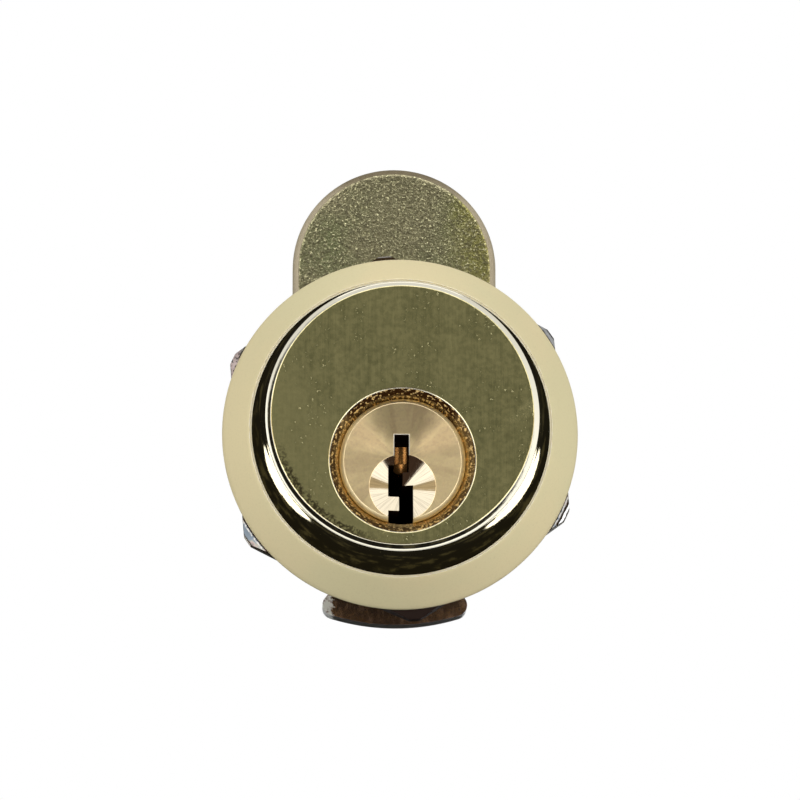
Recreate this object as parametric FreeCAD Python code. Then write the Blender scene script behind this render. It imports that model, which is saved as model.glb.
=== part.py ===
import FreeCAD, Part
import math
import os

# Threaded pin tumbler cylinder with a conical collar, a hex nut and a hook bolt on the plug's tail
# Sizes are in millimetres. The origin is on the axis of the threaded body, at the door face.
# X is to the right seen from outside the door, Y goes into the door and Z is up.

# Cylinder head, in front of the door face
HEAD_REACH = 11.4
FACE_R = 13.84
HEAD_BEVEL = 0.63
HEAD_BEVEL_LENGTH = 0.9
SKIRT_GAP = 0.2

# Threaded body, behind the door face
BODY_R = 14.0
BODY_LENGTH = 23.0
THREAD_START = 1.0
THREAD_PITCH = 1.5
THREAD_DEPTH = 0.92
THREAD_ANGLE = 60.0
THREAD_ROOT = 0.19
BODY_END_CHAMFER = 0.7
FLAT_ACROSS = 26.0

# Collar ring
COLLAR_R = 19.0
COLLAR_RIM = 0.25
COLLAR_LIP_R = 16.05
COLLAR_HEIGHT = 3.9
COLLAR_CROWN = 0.2
COLLAR_SEAT_DEPTH = 0.3
COLLAR_BORE_GAP = 0.2

# Hex nut
NUT_ACROSS = 34.9
NUT_CORNER_R = 19.8
NUT_CHAMFER_R = 17.4
NUT_CHAMFER_ANGLE = 30.0
NUT_THICKNESS = 4.2
NUT_STANDOFF = 0.3
NUT_BORE_GAP = 0.05
NUT_TURN = 4.8

# Plug
PLUG_DROP = 4.86
PLUG_R = 6.3
PLUG_HEAD_R = 6.62
PLUG_BEVEL = 0.45
PLUG_RECESS = 0.35
PLUG_HEAD_LENGTH = 2.55
RUN_GAP = 0.05
AXIAL_GAP = 0.1
COUNTERSINK_R = 7.755
COUNTERSINK_DEPTH = 1.1
DIMPLE_R = 3.53
DIMPLE_DEPTH = 1.35
DIMPLE_DROP = 2.82

# Keyway, seen from the front, from the plug's axis
KEYWAY_TOP = 2.77
KEYWAY_BOTTOM = -6.62
BLADE_LEFT = -0.87
BLADE_RIGHT = 0.67
BROAD_LEFT = -1.5
BROAD_RIGHT = 1.13
BROAD_TOP = -0.42
RIGHT_WARD_TIP = 0.04
RIGHT_WARD_TOP = -1.15
RIGHT_WARD_BOTTOM = -2.48
LEFT_WARD_TIP = -0.36
LEFT_WARD_TOP = -3.72
LEFT_WARD_BOTTOM = -5.28
KEYWAY_PAST_PINS = 2.6

# Pin stacks
PIN_R = 1.4
PIN_GAP = 0.05
FIRST_PIN_BACK = 8.95
PIN_PITCH = 3.8
PIN_FLAT_R = 0.9
PIN_CROWN = 0.27
PIN_TIP_R = 0.45
PIN_TIP_LENGTH = 0.8
SHEAR_GAP = 0.08
KEY_PIN_TIP = 0.14
KEY_PIN_LIFTS = [2.4, 1.5, 0.9, 2.1, 1.2]
FLOOR_GAP = 0.12
DRIVER_LENGTH = 4.2
CAP_THICKNESS = 1.3
CAP_SINK = 0.18
SPRING_WIRE_R = 0.15
SPRING_R = 1.05
SPRING_PITCH = 0.8

# Stop plate and its two stop pins, from the plug's axis
PLATE_GAP = 0.2
STOP_THICKNESS = 2.8
STOP_HUB_R = 6.45
STOP_REACH = 12.2
STOP_HALF_WIDTH = 8.8
STOP_END_R = 24.0
STOP_CORNER_R = 1.2
TURN_RANGE = 90.0
STOP_PIN_R = 1.0
STOP_PIN_CIRCLE_R = 7.85
STOP_PIN_GAP = 0.1
STOP_PIN_SEAT = 5.0
STOP_PIN_SHORT = 0.3

# Hook bolt, from the plug's axis
HOOK_THICKNESS = 3.2
HOOK_HEAD_R = 11.35
HOOK_HEAD_RISE = 28.6
HOOK_SIDE_LOW = 14.0
HOOK_HUB_R = 9.5
HOOK_RIM_R = 1.0
THROAT_R = 4.2
THROAT_RISE = 15.0

# Square tail, washers and tail screw
TAIL_SIDE = 7.0
TAIL_FIT = 0.05
TAIL_SHORT = 0.2
WASHER_R = 6.5
WASHER_THICKNESS = 1.0
LOCK_WASHER_R = 4.4
LOCK_WASHER_THICKNESS = 1.2
LOCK_WASHER_SLIT = 0.8
WASHER_BORE_R = 2.65
SCREW_R = 2.45
SCREW_LENGTH = 11.5
SCREW_HOLE_R = 2.5
SCREW_HOLE_PAST = 0.8
SCREW_HEAD_ACROSS = 8.0
SCREW_HEAD_HEIGHT = 3.5
SCREW_HEAD_CHAMFER = 0.4
SCREW_TIP_CHAMFER = 0.5

# Places worked out from the sizes above
FACE_Y = -HEAD_REACH
SKIRT_Y = COLLAR_SEAT_DEPTH - COLLAR_HEIGHT
SKIRT_R = COLLAR_LIP_R - SKIRT_GAP
PLUG_FACE_Y = FACE_Y + PLUG_RECESS
PLUG_FACE_R = PLUG_HEAD_R - PLUG_BEVEL
PLUG_SHOULDER_Y = PLUG_FACE_Y + PLUG_HEAD_LENGTH
STOP_Y = BODY_LENGTH + PLATE_GAP
HOOK_Y = STOP_Y + STOP_THICKNESS
HOOK_BACK_Y = HOOK_Y + HOOK_THICKNESS
TAIL_END_Y = HOOK_BACK_Y - TAIL_SHORT
LOCK_WASHER_Y = HOOK_BACK_Y + WASHER_THICKNESS
SCREW_HEAD_Y = LOCK_WASHER_Y + LOCK_WASHER_THICKNESS
PIN_DEPTHS = [PLUG_FACE_Y + FIRST_PIN_BACK + PIN_PITCH * i for i in range(len(KEY_PIN_LIFTS))]
CHAMBER_R = PIN_R + PIN_GAP
CHAMBER_FLOOR = KEY_PIN_TIP - FLOOR_GAP
SHEAR_LINE = PLUG_R - SHEAR_GAP
DRIVER_BASE = PLUG_R + RUN_GAP + SHEAR_GAP
CAP_TOP = BODY_R - THREAD_DEPTH - CAP_SINK
CAP_BASE = CAP_TOP - CAP_THICKNESS
STOP_CORNER_DROP = STOP_REACH - STOP_END_R + math.sqrt(STOP_END_R**2 - STOP_HALF_WIDTH**2)
STOP_HALF_ANGLE = math.degrees(math.atan2(STOP_HALF_WIDTH, STOP_CORNER_DROP))


def vec(x, y, z):
    return FreeCAD.Vector(x, y, z)


# Revolves (radius, depth) corners about the depth axis and lowers the solid
def turned(corners, drop=0.0):
    points = [vec(radius, depth, 0) for radius, depth in corners]
    face = Part.Face(Part.makePolygon(points + points[:1]))
    return face.revolve(vec(0, 0, 0), vec(0, 1, 0), 360).translated(vec(0, 0, -drop))


# Revolves (radius, height) corners about an upright axis at a given depth
def turned_upright(corners, depth):
    points = [vec(radius, 0, height) for radius, height in corners]
    face = Part.Face(Part.makePolygon(points + points[:1]))
    return face.revolve(vec(0, 0, 0), vec(0, 0, 1), 360).translated(vec(0, depth, 0))


def rod(radius, front, back, x=0.0, z=0.0):
    return Part.makeCylinder(radius, back - front, vec(x, front, z), vec(0, 1, 0))


def post(radius, low, high, depth):
    return Part.makeCylinder(radius, high - low, vec(0, depth, low), vec(0, 0, 1))


def block(x0, x1, y0, y1, z0, z1):
    return Part.makeBox(x1 - x0, y1 - y0, z1 - z0, vec(x0, y0, z0))


# Extrudes (x, z) corners from one depth to another
def prism(corners, front, back):
    points = [vec(x, front, z) for x, z in corners]
    face = Part.Face(Part.makePolygon(points + points[:1]))
    return face.extrude(vec(0, back - front, 0))


def hexagon(across, turn):
    corner_r = across / 2 / math.cos(math.radians(30))
    angles = [math.radians(turn + 60 * i) for i in range(6)]
    return [(corner_r * math.cos(a), corner_r * math.sin(a)) for a in angles]


def square_tail(side, front, back):
    half = side / 2
    return block(-half, half, front, back, -PLUG_DROP - half, -PLUG_DROP + half)


def thread_corners():
    flank = THREAD_DEPTH * math.tan(math.radians(THREAD_ANGLE / 2))
    groove = THREAD_ROOT + 2 * flank
    corners = []
    depth = THREAD_START
    while depth + groove < BODY_LENGTH - BODY_END_CHAMFER:
        corners.append((BODY_R, depth))
        corners.append((BODY_R - THREAD_DEPTH, depth + flank))
        corners.append((BODY_R - THREAD_DEPTH, depth + flank + THREAD_ROOT))
        corners.append((BODY_R, depth + groove))
        depth += THREAD_PITCH
    return corners


def stop_pin_centres():
    sweep = math.degrees(math.asin((STOP_PIN_R + STOP_PIN_GAP) / STOP_PIN_CIRCLE_R))
    right = math.radians(-90 + STOP_HALF_ANGLE + sweep)
    left = math.radians(-90 - STOP_HALF_ANGLE - TURN_RANGE - sweep)
    places = []
    for angle in (right, left):
        x = STOP_PIN_CIRCLE_R * math.cos(angle)
        z = STOP_PIN_CIRCLE_R * math.sin(angle) - PLUG_DROP
        places.append((x, z))
    return places


def make_cylinder_shell():
    outline = [
        (0, FACE_Y),
        (FACE_R, FACE_Y),
        (FACE_R + HEAD_BEVEL, FACE_Y + HEAD_BEVEL_LENGTH),
        (SKIRT_R, SKIRT_Y),
        (BODY_R, SKIRT_Y),
    ]
    outline += thread_corners()
    outline += [
        (BODY_R, BODY_LENGTH - BODY_END_CHAMFER),
        (BODY_R - BODY_END_CHAMFER, BODY_LENGTH),
        (0, BODY_LENGTH),
    ]
    shell = turned(outline)
    half = FLAT_ACROSS / 2
    for side in (-1, 1):
        x0, x1 = sorted((side * half, side * COLLAR_R))
        shell = shell.cut(block(x0, x1, SKIRT_Y, BODY_LENGTH, -COLLAR_R, COLLAR_R))
    head_bore_r = PLUG_HEAD_R + RUN_GAP
    shoulder = PLUG_SHOULDER_Y + AXIAL_GAP
    bore = [
        (0, FACE_Y),
        (COUNTERSINK_R, FACE_Y),
        (head_bore_r, FACE_Y + COUNTERSINK_DEPTH),
        (head_bore_r, shoulder),
        (PLUG_R + RUN_GAP, shoulder),
        (PLUG_R + RUN_GAP, BODY_LENGTH),
        (0, BODY_LENGTH),
    ]
    shell = shell.cut(turned(bore, PLUG_DROP))
    for depth in PIN_DEPTHS:
        shell = shell.cut(post(CHAMBER_R, 0, COLLAR_R, depth))
    for x, z in stop_pin_centres():
        shell = shell.cut(rod(STOP_PIN_R, BODY_LENGTH - STOP_PIN_SEAT, BODY_LENGTH, x, z))
    return shell


def make_collar_ring():
    lip_y = -COLLAR_HEIGHT
    bore_r = BODY_R + COLLAR_BORE_GAP
    run = COLLAR_R - COLLAR_LIP_R
    rise = COLLAR_HEIGHT - COLLAR_RIM
    slope = math.hypot(run, rise)
    middle_r = (COLLAR_R + COLLAR_LIP_R) / 2 + COLLAR_CROWN * rise / slope
    middle_y = -(COLLAR_HEIGHT + COLLAR_RIM) / 2 - COLLAR_CROWN * run / slope
    lip = vec(COLLAR_LIP_R, lip_y, 0)
    rim = vec(COLLAR_R, -COLLAR_RIM, 0)
    crown = Part.Arc(lip, vec(middle_r, middle_y, 0), rim).toShape()
    straight = Part.makePolygon([
        rim,
        vec(COLLAR_R, 0, 0),
        vec(bore_r, 0, 0),
        vec(bore_r, SKIRT_Y, 0),
        vec(COLLAR_LIP_R, SKIRT_Y, 0),
        lip,
    ])
    face = Part.Face(Part.Wire([crown] + straight.Edges))
    return face.revolve(vec(0, 0, 0), vec(0, 1, 0), 360)


def make_hex_nut():
    front = NUT_STANDOFF
    back = front + NUT_THICKNESS
    chamfer = (NUT_CORNER_R - NUT_CHAMFER_R) * math.tan(math.radians(NUT_CHAMFER_ANGLE))
    blank = turned([
        (BODY_R + NUT_BORE_GAP, front),
        (NUT_CHAMFER_R, front),
        (NUT_CORNER_R, front + chamfer),
        (NUT_CORNER_R, back - chamfer),
        (NUT_CHAMFER_R, back),
        (BODY_R + NUT_BORE_GAP, back),
    ])
    return blank.common(prism(hexagon(NUT_ACROSS, 90 + NUT_TURN), front, back))


def keyway_corners():
    corners = [
        (BLADE_LEFT, KEYWAY_TOP),
        (BLADE_RIGHT, KEYWAY_TOP),
        (BLADE_RIGHT, RIGHT_WARD_TOP),
        (RIGHT_WARD_TIP, RIGHT_WARD_TOP),
        (RIGHT_WARD_TIP, RIGHT_WARD_BOTTOM),
        (BROAD_RIGHT, RIGHT_WARD_BOTTOM),
        (BROAD_RIGHT, KEYWAY_BOTTOM),
        (BROAD_LEFT, KEYWAY_BOTTOM),
        (BROAD_LEFT, LEFT_WARD_BOTTOM),
        (LEFT_WARD_TIP, LEFT_WARD_BOTTOM),
        (LEFT_WARD_TIP, LEFT_WARD_TOP),
        (BROAD_LEFT, LEFT_WARD_TOP),
        (BROAD_LEFT, BROAD_TOP),
        (BLADE_LEFT, BROAD_TOP),
    ]
    return [(x, z - PLUG_DROP) for x, z in corners]


def make_plug():
    plug = turned([
        (0, PLUG_FACE_Y),
        (PLUG_FACE_R, PLUG_FACE_Y),
        (PLUG_HEAD_R, PLUG_FACE_Y + PLUG_BEVEL),
        (PLUG_HEAD_R, PLUG_SHOULDER_Y),
        (PLUG_R, PLUG_SHOULDER_Y),
        (PLUG_R, STOP_Y),
        (0, STOP_Y),
    ], PLUG_DROP)
    plug = plug.fuse(square_tail(TAIL_SIDE, STOP_Y, TAIL_END_Y)).removeSplitter()
    dimple = turned([
        (0, PLUG_FACE_Y),
        (DIMPLE_R, PLUG_FACE_Y),
        (0, PLUG_FACE_Y + DIMPLE_DEPTH),
    ], PLUG_DROP + DIMPLE_DROP)
    plug = plug.cut(dimple)
    keyway_end = PIN_DEPTHS[-1] + KEYWAY_PAST_PINS
    plug = plug.cut(prism(keyway_corners(), FACE_Y, keyway_end))
    for depth in PIN_DEPTHS:
        plug = plug.cut(post(CHAMBER_R, CHAMBER_FLOOR - PLUG_DROP, PLUG_R, depth))
    hole_end = SCREW_HEAD_Y - SCREW_LENGTH - SCREW_HOLE_PAST
    return plug.cut(rod(SCREW_HOLE_R, hole_end, TAIL_END_Y, 0, -PLUG_DROP))


# A key pin stands on its chamber's floor, its lift below the shear line
def make_key_pin(index):
    top = SHEAR_LINE - KEY_PIN_LIFTS[index] - PLUG_DROP
    tip = KEY_PIN_TIP - PLUG_DROP
    return turned_upright([
        (0, tip),
        (PIN_TIP_R, tip),
        (PIN_R, tip + PIN_TIP_LENGTH),
        (PIN_R, top - PIN_CROWN),
        (PIN_FLAT_R, top),
        (0, top),
    ], PIN_DEPTHS[index])


def make_driver_pin(index):
    base = DRIVER_BASE - PLUG_DROP
    top = base + DRIVER_LENGTH
    return turned_upright([
        (0, base),
        (PIN_FLAT_R, base),
        (PIN_R, base + PIN_CROWN),
        (PIN_R, top - PIN_CROWN),
        (PIN_FLAT_R, top),
        (0, top),
    ], PIN_DEPTHS[index])


def make_pin_spring(index):
    low = DRIVER_BASE - PLUG_DROP + DRIVER_LENGTH + SPRING_WIRE_R
    high = CAP_BASE - SPRING_WIRE_R
    helix = Part.makeHelix(SPRING_PITCH, high - low, SPRING_R)
    lead = vec(0, 2 * math.pi * SPRING_R, SPRING_PITCH)
    section = Part.Wire(Part.makeCircle(SPRING_WIRE_R, vec(SPRING_R, 0, 0), lead))
    coil = Part.Wire(helix.Edges).makePipeShell([section], True, True)
    return coil.translated(vec(0, PIN_DEPTHS[index], low))


def make_chamber_caps():
    return Part.makeCompound([post(CHAMBER_R, CAP_BASE, CAP_TOP, depth) for depth in PIN_DEPTHS])


def make_stop_pins():
    front = BODY_LENGTH - STOP_PIN_SEAT
    back = HOOK_Y - STOP_PIN_SHORT
    return Part.makeCompound([rod(STOP_PIN_R, front, back, x, z) for x, z in stop_pin_centres()])


def make_stop_plate():
    left = vec(-STOP_HALF_WIDTH, 0, -STOP_CORNER_DROP)
    right = vec(STOP_HALF_WIDTH, 0, -STOP_CORNER_DROP)
    end = Part.Arc(right, vec(0, 0, -STOP_REACH), left).toShape()
    sides = Part.makePolygon([left, vec(0, 0, 0), right])
    fan = Part.Face(Part.Wire([end] + sides.Edges)).extrude(vec(0, STOP_THICKNESS, 0))
    corners = [edge for edge in fan.Edges if abs(edge.BoundBox.XLength) < 1e-6
               and abs(edge.BoundBox.ZLength) < 1e-6 and edge.BoundBox.ZMin < -1]
    fan = fan.makeFillet(STOP_CORNER_R, corners)
    hub = Part.makeCylinder(STOP_HUB_R, STOP_THICKNESS, vec(0, 0, 0), vec(0, 1, 0))
    plate = fan.fuse(hub).removeSplitter().translated(vec(0, STOP_Y, -PLUG_DROP))
    return plate.cut(square_tail(TAIL_SIDE + 2 * TAIL_FIT, STOP_Y, HOOK_Y))


# Point where a line from a corner meets the hook's hub circle at a tangent
def hub_tangent(x, z):
    reach = math.hypot(x, z)
    turn = math.acos(HOOK_HUB_R / reach)
    angle = math.atan2(z, x) - math.copysign(turn, x)
    return vec(HOOK_HUB_R * math.cos(angle), 0, HOOK_HUB_R * math.sin(angle))


def make_hook_bolt():
    right = vec(HOOK_HEAD_R, 0, HOOK_HEAD_RISE)
    left = vec(-HOOK_HEAD_R, 0, HOOK_HEAD_RISE)
    right_low = vec(HOOK_HEAD_R, 0, HOOK_SIDE_LOW)
    left_low = vec(-HOOK_HEAD_R, 0, HOOK_SIDE_LOW)
    right_hub = hub_tangent(HOOK_HEAD_R, HOOK_SIDE_LOW)
    left_hub = hub_tangent(-HOOK_HEAD_R, HOOK_SIDE_LOW)
    crown = Part.Arc(right, vec(0, 0, HOOK_HEAD_RISE + HOOK_HEAD_R), left).toShape()
    left_side = Part.makePolygon([left, left_low, left_hub])
    hub = Part.Arc(left_hub, vec(0, 0, -HOOK_HUB_R), right_hub).toShape()
    right_side = Part.makePolygon([right_hub, right_low, right])
    outline = Part.Wire([crown] + left_side.Edges + [hub] + right_side.Edges)
    plate = Part.Face(outline).extrude(vec(0, HOOK_THICKNESS, 0))
    rims = [edge for edge in plate.Edges if edge.BoundBox.YLength < 1e-6]
    plate = plate.makeFillet(HOOK_RIM_R, rims)
    reach = THROAT_RISE + THROAT_R
    throat = rod(reach, 0, HOOK_THICKNESS).cut(rod(THROAT_RISE - THROAT_R, 0, HOOK_THICKNESS))
    throat = throat.common(block(-reach, 0, 0, HOOK_THICKNESS, -reach, reach))
    seat = rod(THROAT_R, 0, HOOK_THICKNESS, 0, THROAT_RISE)
    plate = plate.cut(throat.fuse(seat)).translated(vec(0, HOOK_Y, -PLUG_DROP))
    return plate.cut(square_tail(TAIL_SIDE + 2 * TAIL_FIT, HOOK_Y, HOOK_BACK_Y))


def make_tail_washer():
    outer = rod(WASHER_R, HOOK_BACK_Y, LOCK_WASHER_Y, 0, -PLUG_DROP)
    return outer.cut(rod(WASHER_BORE_R, HOOK_BACK_Y, LOCK_WASHER_Y, 0, -PLUG_DROP))


def make_lock_washer():
    outer = rod(LOCK_WASHER_R, LOCK_WASHER_Y, SCREW_HEAD_Y, 0, -PLUG_DROP)
    washer = outer.cut(rod(WASHER_BORE_R, LOCK_WASHER_Y, SCREW_HEAD_Y, 0, -PLUG_DROP))
    half = LOCK_WASHER_SLIT / 2
    slit = block(0, LOCK_WASHER_R, LOCK_WASHER_Y, SCREW_HEAD_Y, -PLUG_DROP - half, -PLUG_DROP + half)
    return washer.cut(slit)


def make_tail_screw():
    back = SCREW_HEAD_Y + SCREW_HEAD_HEIGHT
    tip = SCREW_HEAD_Y - SCREW_LENGTH
    corner_r = SCREW_HEAD_ACROSS / 2 / math.cos(math.radians(30))
    head = turned([
        (0, SCREW_HEAD_Y),
        (corner_r, SCREW_HEAD_Y),
        (corner_r, back - SCREW_HEAD_CHAMFER),
        (corner_r - 2 * SCREW_HEAD_CHAMFER, back),
        (0, back),
    ], PLUG_DROP)
    flats = prism([(x, z - PLUG_DROP) for x, z in hexagon(SCREW_HEAD_ACROSS, 0)], SCREW_HEAD_Y, back)
    shank = turned([
        (0, tip),
        (SCREW_R - SCREW_TIP_CHAMFER, tip),
        (SCREW_R, tip + SCREW_TIP_CHAMFER),
        (SCREW_R, SCREW_HEAD_Y),
        (0, SCREW_HEAD_Y),
    ], PLUG_DROP)
    return head.common(flats).fuse(shank).removeSplitter()


pieces = {
    "cylinder_shell": make_cylinder_shell(),
    "collar_ring": make_collar_ring(),
    "hex_nut": make_hex_nut(),
    "chamber_caps": make_chamber_caps(),
    "stop_pins": make_stop_pins(),
    "plug": make_plug(),
    "stop_plate": make_stop_plate(),
    "hook_bolt": make_hook_bolt(),
    "tail_washer": make_tail_washer(),
    "lock_washer": make_lock_washer(),
    "tail_screw": make_tail_screw(),
}
for number in range(len(KEY_PIN_LIFTS)):
    pieces[f"key_pin_{number + 1}"] = make_key_pin(number)
    pieces[f"driver_pin_{number + 1}"] = make_driver_pin(number)
    pieces[f"pin_spring_{number + 1}"] = make_pin_spring(number)

os.makedirs("parts", exist_ok=True)
for name, shape in pieces.items():
    shape.exportStep(f"parts/{name}.step")
    print(name, len(shape.Solids), round(shape.Volume, 2), shape.isValid())
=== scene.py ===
import logging
import math
from contextlib import contextmanager
from dataclasses import dataclass
from enum import Enum
from typing import Callable, Iterator, Optional, Sequence, Union

import bmesh
import bpy
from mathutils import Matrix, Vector


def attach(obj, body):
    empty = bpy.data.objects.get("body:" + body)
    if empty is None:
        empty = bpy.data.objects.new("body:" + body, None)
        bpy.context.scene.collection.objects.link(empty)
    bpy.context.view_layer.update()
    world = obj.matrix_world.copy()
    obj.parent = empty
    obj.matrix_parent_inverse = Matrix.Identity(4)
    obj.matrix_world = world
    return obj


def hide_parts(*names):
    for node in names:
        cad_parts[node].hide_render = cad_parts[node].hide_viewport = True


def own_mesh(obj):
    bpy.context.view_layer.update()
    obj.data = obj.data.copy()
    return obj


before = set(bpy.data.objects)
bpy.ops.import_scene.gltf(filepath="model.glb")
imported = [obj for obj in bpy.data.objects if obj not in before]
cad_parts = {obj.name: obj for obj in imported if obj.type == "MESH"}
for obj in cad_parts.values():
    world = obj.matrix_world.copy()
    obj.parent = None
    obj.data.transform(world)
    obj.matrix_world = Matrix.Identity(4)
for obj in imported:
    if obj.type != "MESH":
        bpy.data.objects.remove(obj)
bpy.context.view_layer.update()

MM = 0.001
QUARTER = math.radians(90)
FULL = 4 * QUARTER
NEAR = 0.004  # Two places closer than this, in millimetres, are the same.
SLACK = 1.0  # How far a cutter stands out of what it cuts, in millimetres.
HEX_HALF = math.radians(30)  # From the middle of a hexagon's side to its corner.
PLUG_DROP = 4.86  # How far the plug's axis lies below the body's axis, in millimetres.
CHAMBER_R = 1.45
CHAMBER_DEPTHS = (-2.1, 1.7, 5.5, 9.3, 13.1)
Point = tuple[float, float, float]
Colour = tuple[float, float, float]
Step = tuple[float, float]
Materials = dict[str, bpy.types.Material]

logging.basicConfig(level=logging.INFO, format="%(message)s")
log = logging.getLogger("lock")


class Part(Enum):
    """What edit mode selects."""

    CORNERS = "VERT"
    EDGES = "EDGE"
    FACES = "FACE"


# Modelling bench


def drop_selection() -> None:
    """Leaves edit mode and deselects every object."""
    if bpy.context.mode != "OBJECT":
        bpy.ops.object.mode_set(mode="OBJECT")
    bpy.ops.object.select_all(action="DESELECT")


class Workpiece:
    """One mesh on the bench, shaped by modelling operators in millimetres.

    Attributes:
        obj: The Blender object that holds the mesh.
    """

    def __init__(self, name: str) -> None:
        """Takes over the object that an operator has just added.

        Args:
            name: The piece's name.
        """
        self.obj = bpy.context.active_object
        self.obj.name = name
        self.obj.data.name = name
        self.settle()

    @classmethod
    def ring(cls, name: str, radius: float, centre: Point, sides: int = 144,
             filled: bool = False) -> "Workpiece":
        """Adds a circle that faces the front.

        Args:
            name: The piece's name.
            radius: Circle radius.
            centre: Its centre.
            sides: Number of corners.
            filled: Whether the circle gets a face.

        Returns:
            The new piece.
        """
        drop_selection()
        fill = "NGON" if filled else "NOTHING"
        bpy.ops.mesh.primitive_circle_add(
            vertices=sides, radius=radius, fill_type=fill, location=centre, rotation=(QUARTER, 0, 0))
        return cls(name)

    @classmethod
    def drum(cls, name: str, radius: float, front: float, back: float, x: float = 0.0, z: float = 0.0,
             sides: int = 96) -> "Workpiece":
        """Adds a cylinder along the depth axis.

        Args:
            name: The piece's name.
            radius: Cylinder radius.
            front: Depth of its front end.
            back: Depth of its back end.
            x: Sideways place of its axis.
            z: Height of its axis.
            sides: Number of sides.

        Returns:
            The new piece.
        """
        drop_selection()
        bpy.ops.mesh.primitive_cylinder_add(
            vertices=sides, radius=radius, depth=back - front,
            location=(x, (front + back) / 2, z), rotation=(QUARTER, 0, 0))
        return cls(name)

    @classmethod
    def block(cls, name: str, low: Point, high: Point) -> "Workpiece":
        """Adds a box between two corners.

        Args:
            name: The piece's name.
            low: Lowest corner.
            high: Highest corner.

        Returns:
            The new piece.
        """
        drop_selection()
        middle = tuple((a + b) / 2 for a, b in zip(low, high))
        sizes = tuple(b - a for a, b in zip(low, high))
        bpy.ops.mesh.primitive_cube_add(size=1, location=middle, scale=sizes)
        return cls(name)

    @classmethod
    def turned(cls, name: str, steps: Sequence[Step], drop: float = 0.0, sides: int = 144,
               closed: bool = False) -> "Workpiece":
        """Turns a profile about the depth axis by extruding and resizing a ring.

        Args:
            name: The piece's name.
            steps: (radius, depth) of each corner of the profile.
            drop: How far the axis lies below the body's axis.
            sides: Number of sides.
            closed: Whether the last ring joins the first, as on a tube. Otherwise the ends are filled.

        Returns:
            The new piece.
        """
        radius, depth = steps[0]
        piece = cls.ring(name, radius, (0, depth, -drop), sides)
        with piece.editing():
            piece.select_all()
            piece.draw_out(steps, drop)
            if closed:
                piece.select_all()
                bpy.ops.mesh.remove_doubles(threshold=NEAR)
            else:
                for end in (steps[0], steps[-1]):
                    piece.pick_ring(*end, drop)
                    bpy.ops.mesh.edge_face_add()
        return piece.face_outwards()

    @classmethod
    def outline(cls, name: str, corners: Sequence[Step], front: float, back: float) -> "Workpiece":
        """Sets a ring's corners to (x, z) places, fills it and extrudes it.

        Args:
            name: The piece's name.
            corners: (x, z) of each corner, in order.
            front: Depth of the front face.
            back: Depth of the back face.

        Returns:
            The new piece.
        """
        piece = cls.ring(name, 1.0, (0, front, 0), len(corners))
        with piece.editing() as mesh:
            mesh.verts.ensure_lookup_table()
            starts = [corner.co.copy() for corner in mesh.verts]
            for index, (x, z) in enumerate(corners):
                piece.pick(Part.CORNERS, lambda corner, index=index: corner.index == index)
                piece.move((x - starts[index].x, 0, z - starts[index].z))
            piece.select_all()
            bpy.ops.mesh.edge_face_add()
            bpy.ops.mesh.extrude_region_move(TRANSFORM_OT_translate={"value": (0, back - front, 0)})
        return piece.face_outwards()

    @contextmanager
    def editing(self) -> Iterator[bmesh.types.BMesh]:
        """Opens the piece in edit mode with nothing selected, and closes it again."""
        drop_selection()
        self.obj.select_set(True)
        bpy.context.view_layer.objects.active = self.obj
        bpy.ops.object.mode_set(mode="EDIT")
        bpy.ops.mesh.select_all(action="DESELECT")
        yield bmesh.from_edit_mesh(self.obj.data)
        bpy.ops.object.mode_set(mode="OBJECT")

    def hold(self) -> None:
        """Selects this piece alone."""
        drop_selection()
        self.obj.select_set(True)
        bpy.context.view_layer.objects.active = self.obj

    def settle(self) -> "Workpiece":
        """Puts the object's place, turn and size into its mesh."""
        self.hold()
        bpy.ops.object.transform_apply(location=True, rotation=True, scale=True)
        return self

    def select_all(self) -> None:
        """Selects the whole mesh in edit mode."""
        bpy.ops.mesh.select_all(action="SELECT")

    def pick(self, part: Part, test: Callable[..., bool]) -> int:
        """Selects the corners, edges or faces that pass a test.

        Args:
            part: What to select.
            test: Says whether one of them is wanted.

        Returns:
            How many were selected.
        """
        bpy.ops.mesh.select_mode(type=part.value)
        bpy.ops.mesh.select_all(action="DESELECT")
        mesh = bmesh.from_edit_mesh(self.obj.data)
        rows = {Part.CORNERS: mesh.verts, Part.EDGES: mesh.edges, Part.FACES: mesh.faces}[part]
        found = [item for item in rows if test(item)]
        for item in found:
            item.select_set(True)
        mesh.select_flush_mode()
        bmesh.update_edit_mesh(self.obj.data)
        return len(found)

    def pick_ring(self, radius: float, depth: float, drop: float = 0.0) -> int:
        """Selects the edges of one turned ring.

        Args:
            radius: Ring radius.
            depth: Its depth.
            drop: How far its axis lies below the body's axis.

        Returns:
            How many edges were selected.
        """
        def on_ring(corner: bmesh.types.BMVert) -> bool:
            """Says whether a corner lies on the ring."""
            reach = math.hypot(corner.co.x, corner.co.z + drop)
            return abs(corner.co.y - depth) < NEAR and abs(reach - radius) < NEAR

        return self.pick(Part.EDGES, lambda edge: all(on_ring(corner) for corner in edge.verts))

    def move(self, by: Point) -> None:
        """Moves what is selected."""
        bpy.ops.transform.translate(value=by)

    def resize(self, share: Point, centre: Point) -> None:
        """Resizes what is selected about a centre."""
        bpy.ops.transform.resize(value=share, center_override=centre)

    def draw_out(self, steps: Sequence[Step], drop: float = 0.0) -> None:
        """Extrudes the selected ring from step to step.

        Args:
            steps: (radius, depth) corners, the first of which is where the ring stands.
            drop: How far its axis lies below the body's axis.
        """
        for (radius, depth), (next_radius, next_depth) in zip(steps, steps[1:]):
            bpy.ops.mesh.extrude_region_move(TRANSFORM_OT_translate={"value": (0, next_depth - depth, 0)})
            share = next_radius / radius
            self.resize((share, 1, share), (0, next_depth, -drop))

    def bevel(self, width: float, segments: int = 3) -> None:
        """Rounds the selected edges in edit mode."""
        bpy.ops.mesh.bevel(offset=width, segments=segments, affect="EDGES", clamp_overlap=True)

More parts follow.
